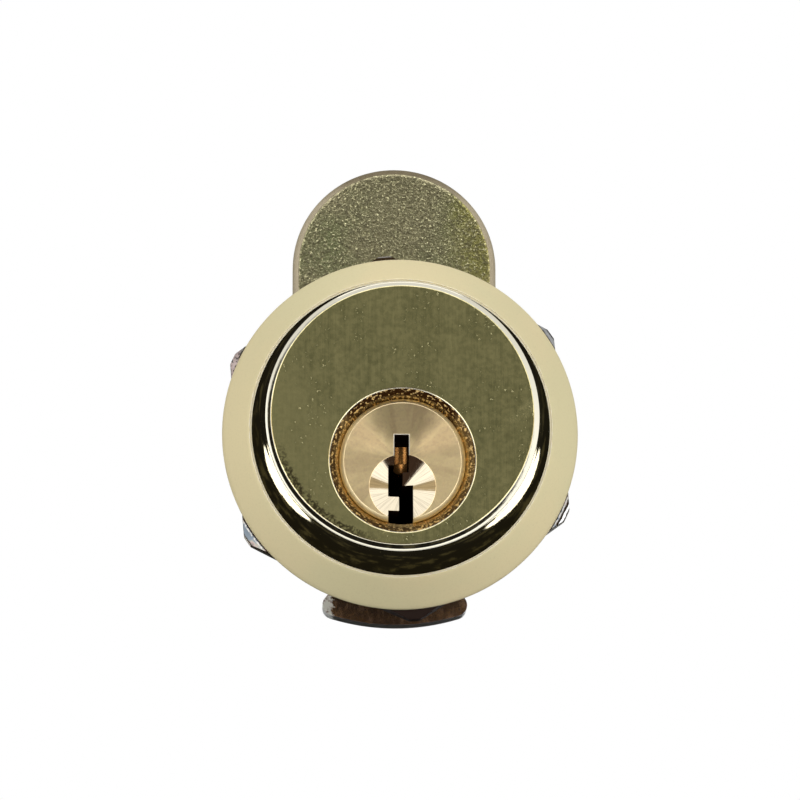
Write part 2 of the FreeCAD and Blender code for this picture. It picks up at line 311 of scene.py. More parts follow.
    def round_ring(self, radius: float, depth: float, width: float, drop: float = 0.0) -> None:
        """Rounds one turned ring's edge in edit mode, about an axis that lies lower by the drop."""
        if self.pick_ring(radius, depth, drop):
            self.bevel(width)

    def modify(self, kind: str, **settings: object) -> "Workpiece":
        """Adds a modifier and applies it.

        Args:
            kind: Modifier type.
            **settings: Its settings.

        Returns:
            The piece.
        """
        self.hold()
        modifier = self.obj.modifiers.new(kind.lower(), kind)
        for key, value in settings.items():
            setattr(modifier, key, value)
        bpy.ops.object.modifier_apply(modifier=modifier.name)
        return self.put_in_order()

    def combine(self, operation: str, *others: "Workpiece") -> "Workpiece":
        """Cuts, joins or intersects with other pieces, which are used up.

        Args:
            operation: DIFFERENCE, UNION or INTERSECT.
            *others: The other pieces.

        Returns:
            The piece.
        """
        for other in others:
            self.modify("BOOLEAN", operation=operation, object=other.obj, solver="EXACT")
            bpy.data.objects.remove(other.obj)
        return self

    def soften(self, width: float, angle: float = 30.0, segments: int = 2) -> "Workpiece":
        """Rounds every edge that is sharper than an angle in degrees, in a number of steps."""
        return self.modify("BEVEL", width=width, segments=segments, limit_method="ANGLE",
                           angle_limit=math.radians(angle), use_clamp_overlap=True)

    def slice_off(self, place: Point, normal: Point) -> "Workpiece":
        """Cuts away what lies on a plane's far side, and closes the cut.

        Args:
            place: A point of the plane.
            normal: The side that goes, of length 1.

        Returns:
            The piece.
        """
        with self.editing():
            self.select_all()
            bpy.ops.mesh.bisect(plane_co=place, plane_no=normal, use_fill=True,
                                clear_outer=True, threshold=1e-5)
        return self

    def turn_left(self, angle: float) -> "Workpiece":
        """Turns the piece about the body's axis, to the left seen from the front, by degrees."""
        self.obj.rotation_euler = (0, -math.radians(angle), 0)
        return self.settle()

    def stand_up(self, place: Point) -> "Workpiece":
        """Turns a piece made along the depth axis upright and sets it in place.

        Args:
            place: Where its origin goes.

        Returns:
            The piece.
        """
        self.obj.rotation_euler = (QUARTER, 0, 0)
        self.settle()
        self.obj.location = place
        return self.settle()

    def shift(self, by: Point) -> "Workpiece":
        """Moves the whole piece."""
        self.obj.location = by
        return self.settle()

    def face_outwards(self) -> "Workpiece":
        """Makes every face point outwards."""
        with self.editing():
            self.select_all()
            bpy.ops.mesh.normals_make_consistent(inside=False)
        return self.put_in_order()

    def put_in_order(self) -> "Workpiece":
        """Sorts the mesh by distance from a far point, so that each run gives one mesh."""
        far_point = (-61.3, 87.9, 73.7)
        bpy.context.scene.cursor.location = far_point
        with self.editing():
            self.select_all()
            bpy.ops.mesh.sort_elements(type="CURSOR_DISTANCE", elements={"VERT", "EDGE", "FACE"})
        return self

    def copy(self, name: str, by: Point) -> "Workpiece":
        """Copies the piece with a mesh of its own.

        Args:
            name: The copy's name.
            by: How far the copy is moved.

        Returns:
            The copy.
        """
        twin = self.obj.copy()
        twin.data = self.obj.data.copy()
        bpy.context.scene.collection.objects.link(twin)
        drop_selection()
        bpy.context.view_layer.objects.active = twin
        twin.location = by
        return Workpiece(name)

    def take_in(self, *others: "Workpiece") -> "Workpiece":
        """Joins other meshes into this one as they are."""
        self.hold()
        for other in others:
            other.obj.select_set(True)
        bpy.ops.object.join()
        return self

    def hand_over(self, finish: bpy.types.Material, body: str, nodes: Sequence[str], slot: str,
                  smooth: float = 32.0, mirrored: bool = True,
                  flat: Optional[Callable[..., bool]] = None) -> bpy.types.Object:
        """Finishes the piece: metres, smooth shading, material and its place on the frame.

        Args:
            finish: The material.
            body: CAD body that carries it.
            nodes: CAD nodes that it stands for.
            slot: The record's material slot; not used.
            smooth: Edges flatter than this angle, in degrees, are shaded smooth.
            mirrored: Whether other pieces mirror this one.
            flat: Says whether a face is shaded flat.

        Returns:
            The finished object.
        """
        self.hold()
        bpy.ops.object.shade_smooth_by_angle(angle=math.radians(smooth))
        if flat:
            with self.editing():
                self.pick(Part.FACES, flat)
                bpy.ops.mesh.faces_shade_flat()
        self.obj.scale = (MM, MM, MM)
        self.settle()
        self.modify("WEIGHTED_NORMAL", keep_sharp=True, weight=100)
        self.obj.data.materials.clear()
        self.obj.data.materials.append(finish)
        self.obj.visible_glossy = mirrored
        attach(self.obj, body)
        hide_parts(*nodes)
        log.info("%s: %d faces, on %s", self.obj.name, len(self.obj.data.polygons), body)
        return self.obj


# Shader bench

Value = Union[float, "Signal"]
Tone = Union[Colour, "Signal"]


class Signal:
    """A shader socket on which plain arithmetic adds Math nodes.

    Attributes:
        bench: The bench whose tree holds the socket.
        socket: The output socket.
    """

    def __init__(self, bench: "ShaderBench", socket: bpy.types.NodeSocket) -> None:
        """Wraps an output socket."""
        self.bench = bench
        self.socket = socket

    def maths(self, operation: str, *values: Value) -> "Signal":
        """Adds a Math node with the given inputs."""
        return self.bench.node("ShaderNodeMath", {"operation": operation}, dict(enumerate(values)))

    def __add__(self, other: Value) -> "Signal":
        """This plus another value."""
        return self.maths("ADD", self, other)

    def __sub__(self, other: Value) -> "Signal":
        """This minus another value."""
        return self.maths("SUBTRACT", self, other)

    def __rsub__(self, other: Value) -> "Signal":
        """Another value minus this."""
        return self.maths("SUBTRACT", other, self)

    def __mul__(self, other: Value) -> "Signal":
        """This times another value."""
        return self.maths("MULTIPLY", self, other)

    def __truediv__(self, other: Value) -> "Signal":
        """This over another value."""
        return self.maths("DIVIDE", self, other)

    def __pow__(self, other: Value) -> "Signal":
        """This to a power."""
        return self.maths("POWER", self, other)

    def ramp(self, low: float, high: float) -> "Signal":
        """Goes smoothly from 0 at low to 1 at high."""
        settings = {"interpolation_type": "SMOOTHSTEP"}
        return self.bench.node("ShaderNodeMapRange", settings, {0: self, 1: low, 2: high, 3: 0.0, 4: 1.0})

    def fall(self, low: float, high: float) -> "Signal":
        """Goes smoothly from 1 at low to 0 at high."""
        return 1.0 - self.ramp(low, high)

    def most(self, other: Value) -> "Signal":
        """The higher of the two."""
        return self.maths("MAXIMUM", self, other)

    def size(self) -> "Signal":
        """The value without its sign."""
        return self.maths("ABSOLUTE", self)


class ShaderBench:
    """Builds one node tree.

    Attributes:
        tree: The node tree.
    """

    def __init__(self, tree: bpy.types.NodeTree) -> None:
        """Starts on an empty tree."""
        self.tree = tree
        tree.nodes.clear()

    def node(self, kind: str, settings: Optional[dict] = None, inputs: Optional[dict] = None,
             output: Union[int, str] = 0) -> Signal:
        """Adds one node.

        Args:
            kind: Node type.
            settings: Properties that are set first; stops are a ramp's places and colours.
            inputs: Values or links of its sockets, by name or number.
            output: Which output is returned.

        Returns:
            The chosen output, or the node's first.
        """
        made = self.tree.nodes.new(kind)
        for key, value in (settings or {}).items():
            if key == "stops":
                stops = made.color_ramp.elements
                while len(stops) < len(value):
                    stops.new(0.5)
                for stop, (place, colour) in zip(stops, value):
                    stop.position = place
                    stop.color = (*colour, 1)
            else:
                setattr(made, key, value)
        for key, value in (inputs or {}).items():
            if isinstance(value, Signal):
                self.tree.links.new(value.socket, made.inputs[key])
            elif value is not None:
                socket = made.inputs[key]
                filled = (*value, 1.0) if socket.type == "RGBA" and len(value) == 3 else value
                socket.default_value = filled
        return Signal(self, made.outputs[output]) if len(made.outputs) else Signal(self, None)

    def place(self) -> Signal:
        """The surface's place in Object coordinates."""
        return self.node("ShaderNodeTexCoord", output="Object")

    def stretched(self, share: Point, centre: Point = (0, 0, 0)) -> Signal:
        """Object coordinates less a centre in metres, then multiplied axis by axis."""
        middle = self.node("ShaderNodeVectorMath", {"operation": "SUBTRACT"}, {0: self.place(), 1: centre})
        return self.node("ShaderNodeVectorMath", {"operation": "MULTIPLY"}, {0: middle, 1: share})

    def millimetres(self, drop: float = 0.0) -> tuple[Signal, Signal, Signal]:
        """The surface's x, y and z in millimetres, from an axis that lies lower than the body's."""
        return self.axes(self.stretched((1 / MM, 1 / MM, 1 / MM), (0, 0, -drop * MM)))

    def polar(self, x: Signal, z: Signal) -> tuple[Signal, Signal]:
        """Distance from the axis, and angle round it."""
        return (x * x + z * z + 1e-6) ** 0.5, x.maths("ARCTAN2", x, z)

    def axes(self, vector: Signal) -> tuple[Signal, Signal, Signal]:
        """Splits a vector into its three parts."""
        outs = self.node("ShaderNodeSeparateXYZ", inputs={0: vector}).socket.node.outputs
        return tuple(Signal(self, outs[index]) for index in range(3))

    def join(self, x: Value, y: Value, z: Value) -> Signal:
        """Makes a vector of three values."""
        return self.node("ShaderNodeCombineXYZ", inputs={0: x, 1: y, 2: z})

    def noise(self, vector: Signal, scale: float = 1.0, detail: float = 2.0, rough: float = 0.5) -> Signal:
        """Noise from 0 to 1 on given coordinates."""
        inputs = {"Vector": vector, "Scale": scale, "Detail": detail, "Roughness": rough}
        return self.node("ShaderNodeTexNoise", None, inputs)

    def cells(self, vector: Signal, scale: float) -> Signal:
        """Distance from the middle of random cells on given coordinates."""
        return self.node("ShaderNodeTexVoronoi", None, {"Vector": vector, "Scale": scale}, "Distance")

    def blend(self, share: Value, first: Tone, second: Tone) -> Signal:
        """Mixes two colours, with a share of the second."""
        return self.node("ShaderNodeMix", {"data_type": "RGBA"}, {0: share, 6: first, 7: second}, output=2)

    def bump(self, height: Signal, depth_mm: float, strength: float,
             under: Optional[Signal] = None) -> Signal:
        """Turns a height from 0 to 1 into a normal, laid over another one where that is given."""
        inputs = {"Strength": strength, "Distance": depth_mm * MM, "Height": height, "Normal": under}
        return self.node("ShaderNodeBump", None, inputs)

    def close(self, inputs: dict) -> None:
        """Ends a material in one shader with the given inputs."""
        shader = self.node("ShaderNodeBsdfPrincipled", None, inputs)
        self.node("ShaderNodeOutputMaterial", None, {"Surface": shader})

    def metal(self, colour: Tone, roughness: Value, normal: Signal, metallic: Value = 1.0) -> None:
        """Ends a material in one metal shader."""
        self.close({"Base Color": colour, "Metallic": metallic, "Roughness": roughness, "Normal": normal})


# Finishes


def scaled(colour: Colour, share: float) -> Colour:
    """Multiplies a colour by a share."""
    return tuple(part * share for part in colour)


@dataclass(frozen=True)
class Finish:
    """A finish that becomes one material.

    Attributes:
        name: The material's name.
    """

    name: str

    def dress(self, bench: ShaderBench) -> None:
        """Adds no nodes here; each finish adds its own to an empty tree."""

    def material(self) -> bpy.types.Material:
        """Builds the material."""
        material = bpy.data.materials.new(self.name)
        material.use_nodes = True
        self.dress(ShaderBench(material.node_tree))
        return material


@dataclass(frozen=True)
class ThreadFinish(Finish):
    """Turned and lacquered brass.

    Attributes:
        tint: Base colour.
        stain: Colour in marks and stains.
        lines_per_mm: How close the turning marks lie.
        lacquer: Weight of the clear lacquer.
    """

    tint: Colour = (0.76, 0.6, 0.3)
    stain: Colour = (0.5, 0.36, 0.15)
    lines_per_mm: float = 7.0
    lacquer: float = 0.3

    def dress(self, bench: ShaderBench) -> None:
        """Adds turning marks, stains and small specks under a lacquer."""
        base = bench.place()
        x, y, z = bench.millimetres()
        reach, around = bench.polar(x, z)
        lines = bench.noise(
            bench.join(reach * self.lines_per_mm, y * self.lines_per_mm, around * 0.8), rough=0.6)
        cloud = bench.noise(base, 320.0, 3.0)
        speck = bench.cells(base, 1500.0).fall(0.04, 0.16) * bench.noise(base, 2600.0).ramp(0.5, 0.62) * 0.5
        stain = cloud.ramp(0.35, 0.75) * 0.6 + lines.ramp(0.45, 0.9) * 0.4
        normal = bench.bump(speck, 0.006, 0.8, bench.bump(lines, 0.002, 0.8))
        bench.close({
            "Base Color": bench.blend(stain * 0.7, self.tint, self.stain), "Metallic": 1.0, "Normal": normal,
            "Roughness": cloud * 0.1 + lines * 0.05 + 0.2 + speck * 0.25,
            "Coat Weight": self.lacquer, "Coat Roughness": 0.05})


@dataclass(frozen=True)
class HeadFinish(Finish):
    """Plated brass head: brushed face, bright wall and bare, rough countersink.

    Attributes:
        tint: Base colour.
        stain: Colour in marks and stains, which thin out towards the lower left of the face as painted
            shade.
        fleck: Colour of the face's small specks.
        bare: Colour of the bare brass in the countersink.
        edge: Colour of the bevel round the face, where the plating is thin.
        burnt: Colour of the dark parts.
    """

    tint: Colour = (0.84, 0.73, 0.38)
    stain: Colour = (0.44, 0.4, 0.195)
    fleck: Colour = (1.0, 0.93, 0.6)
    bare: Colour = (0.95, 0.69, 0.31)
    edge: Colour = (0.98, 0.93, 0.76)
    burnt: Colour = (0.035, 0.014, 0.004)

    def sink(self, bench: ShaderBench) -> tuple[Signal, Signal, Signal, Signal]:
        """The countersink: where it and its rim lie, its colour with painted shade towards its top, and its
        marks.

        Args:
            bench: The material's bench.

        Returns:
            Its share of the surface, its rim's share, its colour and the height of its marks.
        """
        sink_r, face_y = BrassBody.sink_r, BrassBody.face_y
        x, y, z = bench.millimetres(PLUG_DROP)
        reach, around = bench.polar(x, z)
        share = reach.fall(sink_r - 0.09, sink_r - 0.05) * y.ramp(face_y + 0.03, face_y + 0.09)
        ticks = bench.noise(bench.join(around * 24.0, reach * 1.3, y * 0.5), 1.0, 3.0, 0.7)
        flakes = bench.noise(bench.join(around * 17.0, reach * 4.0, 7.0), rough=0.6)
        blotch = bench.noise(bench.join(around * 1.6, reach * 0.5, 3.0))
        # Painted shade: the countersink is darker towards its top.
        top = (z / reach).ramp(0.25, 0.7)
        rust_and_painted_shade = (blotch.ramp(0.36, 0.52) * 0.45 + 0.5).most(top)
        outer = (reach + (flakes - 0.5) * 0.6).ramp(6.85, 7.1)
        dark = (ticks.ramp(0.36, 0.46) * (outer.most(top) * 0.5 + 0.4)).most(outer * rust_and_painted_shade)
        dark = dark * (1.0 - flakes.ramp(0.56, 0.6) * 0.75)
        rim = (reach - sink_r + 0.01).size().fall(0.06, 0.1)
        return share, rim, bench.blend(dark, self.bare, self.burnt), ticks

    def dress(self, bench: ShaderBench) -> None:
        """Adds the brushed and specked face, the bevel, the wall and the countersink."""
        base = bench.place()
        x, y, z = bench.millimetres()
        reach = bench.polar(x, z)[0]
        on_face = y.fall(BrassBody.face_y + 0.015, BrassBody.face_y + 0.04)
        brush = bench.noise(bench.stretched((8500, 8500, 240)), 1.0, 3.0, 0.65)
        streaks = bench.noise(bench.stretched((2600, 2600, 120)), rough=0.6)
        cloud = bench.noise(base, 260.0, 3.0, 0.6)
        mottle = bench.noise(base, 1500.0, 3.0, 0.62)
        fine = bench.noise(base, 3400.0, 2.0, 0.6)
        speck = (bench.cells(base, 1900.0).fall(0.05, 0.3) * fine.ramp(0.5, 0.66)).most(fine.ramp(0.6, 0.72))
        speck = speck * mottle.ramp(0.42, 0.6) * cloud.ramp(0.42, 0.6)
        worn = (reach + (mottle - 0.5) * 1.5).ramp(12.9, 13.3)
        worn = worn * ((x * -0.7 - z * 0.72) / reach).ramp(0.8, 0.97)
        marks = (cloud.ramp(0.36, 0.64) + mottle.ramp(0.36, 0.64)) * 0.4
        marks = marks + (brush.ramp(0.4, 0.7) + streaks.ramp(0.4, 0.65)) * 0.2
        # Painted shade: the stains thin out towards the lower left, so the face is lighter there and darker
        # above.
        marks = marks * (x + z * 0.6 + cloud * 4.0).ramp(-14.0, -2.0).most(0.55)
        colour = bench.blend(marks * on_face, self.tint, self.stain)
        colour = bench.blend(speck * on_face * 0.32, colour, self.fleck)
        colour = bench.blend(worn * on_face * fine.ramp(0.4, 0.55) * 0.8, colour, self.burnt)
        colour = bench.blend(reach.ramp(13.8, 13.86) * y.fall(-10.5, -10.35), colour, self.edge)
        share, rim, bare, ticks = self.sink(bench)
        colour = bench.blend(rim * (1.0 - on_face), bench.blend(share, colour, bare), self.edge)
        rough = on_face * (cloud * 0.1 + brush * 0.12 + 0.05 + speck * 0.12) + 0.055 + share * 0.4
        dents = bench.noise(base, 800.0, 3.0, 0.55) * (1.0 - on_face) * (1.0 - share)
        normal = bench.bump(brush * on_face, 0.0022, 0.8)
        normal = bench.bump(dents, 0.018, 0.8, normal)
        normal = bench.bump((speck + mottle * 0.4) * on_face, 0.012, 0.8, normal)
        bench.metal(colour, rough, bench.bump(ticks * share, 0.16, 0.9, normal))


@dataclass(frozen=True)
class PlugFinish(Finish):
    """Bare turned brass plug: satin face with painted shade and sheen, bright dimple, a painted highlight on
    the keyway's edge and painted shade inside the keyway.

    Attributes:
        tint: Base colour.
        shade: Colour of the face's painted shade, the dark wedge at the top and the dark sectors of the
            turned sheen, and of its random mottling.
        edge: Colour of the bevel round the face.
        rim: Colour of the painted highlight on the broken edge of the keyway.
        bright: Colour of the dimple.
        dark: Colour of the painted shade inside the keyway.
    """

    tint: Colour = (1.0, 0.795, 0.46)
    shade: Colour = (0.68, 0.5, 0.3)
    edge: Colour = (1.0, 0.84, 0.5)
    rim: Colour = (1.0, 0.95, 0.82)
    bright: Colour = (0.45, 0.395, 0.295)
    dark: Colour = (0.02, 0.008, 0.004)

    def dress(self, bench: ShaderBench) -> None:
        """Adds the turned face with its painted shade and sheen, the dimple's rays, the painted highlight on
        the keyway's edge and painted shade inside the keyway.
        """
        base = bench.place()
        x, y, z = bench.millimetres(PLUG_DROP)
        reach, around = bench.polar(x, z)
        dimple_reach, dimple_around = bench.polar(x, z + TurningPlug.dimple_drop)
        depth = y - TurningPlug.face_y
        floor = (1.0 - dimple_reach * (1 / TurningPlug.dimple_r)).most(0.0) * TurningPlug.dimple_depth
        in_dimple = floor.ramp(0.01, 0.03) * (depth - floor).fall(0.04, 0.08)
        # Painted shade: the keyway's inside, deeper than the face and the dimple, is coloured dark.
        inside = (depth - floor).ramp(0.1, 0.3) * reach.fall(6.0, 6.1) * y.fall(17.0, 17.5)
        lines = bench.noise(bench.join(reach * 9.0, y * 4.0, around * 0.9), rough=0.6)
        rays = bench.noise(bench.join(dimple_around * 26.0, dimple_reach * 0.25, 0.0), rough=0.6)
        cloud = bench.noise(base, 700.0, 3.0, 0.6)
        mottle = bench.noise(base, 2600.0, 2.0, 0.6)
        upward = z / reach + (cloud - 0.5) * 0.25
        # Painted shade and sheen: a dark wedge at the top and darker sectors round the axis stand for the
        # turned face's reflections.
        sheen = bench.noise(bench.join(around * 3.2, reach * 0.12, 5.0), rough=0.6)
        top = upward.ramp(0.72, 0.95) * reach.ramp(1.8, 3.2)
        beam = upward.ramp(0.15, 0.5) * upward.fall(0.62, 0.8) * reach.ramp(1.0, 3.0)
        painted_shade_and_mottle = top * 0.45 + mottle.ramp(0.42, 0.66) * 0.3 + sheen.ramp(0.42, 0.6) * 0.4
        on_face = 1.0 - in_dimple
        colour = bench.blend(painted_shade_and_mottle * on_face, self.tint, self.shade)
        # Painted highlight on the keyway's broken edge.
        colour = bench.blend(depth.ramp(0.01, 0.03) * floor.fall(0.0, 0.01), colour, self.rim)
        lit = bench.blend(rays.ramp(0.44, 0.66) * 0.6, self.bright, scaled(self.bright, 0.6))
        colour = bench.blend(in_dimple, colour, lit)
        bevel = reach.ramp(TurningPlug.face_r - 0.02, TurningPlug.face_r + 0.03)
        colour = bench.blend(bevel, colour, self.edge)
        colour = bench.blend(inside, colour, self.dark)
        rough = on_face * (cloud * 0.1 + mottle * 0.14 + 0.24 - top * 0.11 + beam * 0.11)
        rough = rough + 0.07 + inside * 0.5
        normal = bench.bump(lines * on_face, 0.004, 0.8)
        bench.metal(colour, rough, bench.bump(rays * in_dimple, 0.004, 0.7, normal))


@dataclass(frozen=True)
class SatinFinish(Finish):
    """Blasted and plated brass that looks even from every side.

    Attributes:
        tint: Base colour.
        second_tint: Colour of large soft patches.
        lip: Colour of the painted highlight on the lip's edge.
        lip_r: Radius within which the lip's edge lies, in millimetres.
    """

    tint: Colour = (0.85, 0.745, 0.455)
    second_tint: Colour = (0.81, 0.735, 0.45)
    lip: Colour = (1.0, 0.95, 0.82)
    lip_r: float = 16.12

    def dress(self, bench: ShaderBench) -> None:
        """Adds the fine grain and a painted highlight on the lip's edge."""
        base = bench.place()
        grain = bench.noise(base, 4200.0, 2.0, 0.6)
        colour = bench.blend(bench.noise(base, 90.0, 3.0).ramp(0.38, 0.62), self.tint, self.second_tint)
        colour = bench.blend(grain.ramp(0.5, 0.8) * 0.25, colour, scaled(self.tint, 0.8))
        x, _, z = bench.millimetres()
        edge_noise = bench.noise(base, 1300.0)
        # Painted highlight on the lip's edge.
        inner = (bench.polar(x, z)[0] + (edge_noise - 0.5) * 0.15).fall(self.lip_r - 0.03, self.lip_r + 0.02)
        colour = bench.blend(inner, colour, self.lip)
        bench.metal(colour, grain * 0.12 + 0.46, bench.bump(grain, 0.003, 0.6), 0.5)


@dataclass(frozen=True)
class TumbledFinish(Finish):
    """Plate that was tumbled and plated: dents in every direction, with painted glints for their sparkle.

    Attributes:
        tint: Main colour.
        second_tint: Colour of large soft patches.
        worn_tint: Colour of the patch on the right where the plating has yellowed.
        rim_tint: Colour of the blasted rim.
        rim_dark: Colour in its dirt.
        grain_per_mm: How close the dents lie.
        dent: How deep they are, in millimetres.
    """

    tint: Colour = (0.4, 0.36, 0.22)
    second_tint: Colour = (0.31, 0.33, 0.17)
    worn_tint: Colour = (0.46, 0.39, 0.09)
    rim_tint: Colour = (0.54, 0.47, 0.335)
    rim_dark: Colour = (0.162, 0.1269, 0.067)
    grain_per_mm: float = 2.6
    dent: float = 0.09

    def dress(self, bench: ShaderBench) -> None:
        """Adds the dents, painted glints for their sparkle, the patches and the rim."""
        base = bench.place()
        per_metre = self.grain_per_mm / MM
        coarse = bench.noise(base, per_metre, 3.0, 0.65)
        facets = bench.cells(base, per_metre * 1.6)
        patches = bench.noise(base, 95.0)
        painted_glints = bench.noise(base, per_metre * 1.3, 2.0, 0.75)
        x, y, z = bench.millimetres()
        colour = bench.blend(patches.ramp(0.4, 0.65), self.tint, self.second_tint)
        colour = bench.blend((x + (patches - 0.5) * 14.0).ramp(4.0, 11.0) * 0.55, colour, self.worn_tint)
        colour = bench.blend(coarse.ramp(0.42, 0.62) * 0.75, colour, scaled(self.tint, 0.4))
        # Painted glints: bright specks in the colour stand for the dents' sparkle.
        bright = tuple(min(1.0, part) for part in scaled(self.tint, 2.6))
        colour = bench.blend(painted_glints.ramp(0.56, 0.66) * 0.95, colour, bright)
        middle = (TailPlates.hook_back + TailPlates.hook_y) / 2
        half = (TailPlates.hook_back - TailPlates.hook_y) / 2
        rim = (((y - middle) * (1 / half)).size() + (coarse - 0.5) * 0.03).fall(0.955, 0.975)
        dust = bench.noise(base, 900.0)
        crown = (z + dust * 0.6).ramp(31.0, 34.6) * 0.65
        colour = bench.blend(rim, colour, bench.blend(dust * 0.35 + crown, self.rim_tint, self.rim_dark))
        height = (coarse * 0.7 + facets * 0.3) * (1.0 - rim * 0.95)
        rough = coarse * 0.25 + 0.2 + rim * 0.35
        bench.metal(colour, rough, bench.bump(height, self.dent, 0.9), 1.0 - rim * 0.5)


@dataclass(frozen=True)
class PaintedShadePlateFinish(Finish):
    """Steel plate with painted shade: dark red-brown faces that stand for shade and the reflection of the
    brass, bare grey edges and a painted highlight on the lower left end.

    Attributes:
        tint: Colour of the faces, painted shade and painted reflection of the brass.
        second_tint: Colour of their streaks.
        bare: Colour of the bare edges.
        bright: Colour of the painted highlight on the lower left end.
        highlight_x: Where the painted highlight on the lower left end begins, in millimetres.
        tip_x: Where the painted highlight gives way to its dark tip.
    """

    tint: Colour = (0.23, 0.165, 0.168)
    second_tint: Colour = (0.46, 0.34, 0.35)
    bare: Colour = (0.55, 0.56, 0.56)
    bright: Colour = (0.8, 0.82, 0.8)
    highlight_x: float = -6.9
    tip_x: float = -8.25

    def dress(self, bench: ShaderBench) -> None:
        """Adds the streaks, the chipped edges and the painted highlight on the lower left end."""
        base = bench.place()
        x, y, z = bench.millimetres()
        streaks = bench.noise(bench.stretched((2600, 900, 700)), 1.0, 3.0, 0.6)
        chips = bench.noise(base, 1900.0, 3.0, 0.7)
        middle = (TailPlates.hook_y + TailPlates.stop_y) / 2
        half = (TailPlates.hook_y - TailPlates.stop_y) / 2
        edge = (((y - middle) * (1 / half)).size() + (chips - 0.5) * 0.05).fall(0.92, 0.99)
        # Painted highlight on the lower left end, broken by flakes and darker at the tip.
        worn = (self.highlight_x - x + (chips - 0.5) * 1.6).ramp(-0.15, 0.15) * (z + 6.0).fall(0.0, 0.5)
        worn = worn * (1.0 - (self.tip_x - x + (chips - 0.5) * 1.2).ramp(-0.1, 0.1) * 0.85)
        flakes = bench.noise(base, 1100.0, 3.0, 0.7).ramp(0.4, 0.5)
        # The faces' tint and its streaks are painted shade and painted reflection of the brass.
        colour = bench.blend(streaks.ramp(0.45, 0.7), self.tint, self.second_tint)
        colour = bench.blend(edge, colour, self.bare)
        colour = bench.blend(worn * flakes, colour, self.bright)
        rough = streaks * 0.12 + 0.16 + edge * 0.25 + worn * 0.35
        bench.metal(colour, rough, bench.bump(chips, 0.02, 0.8))


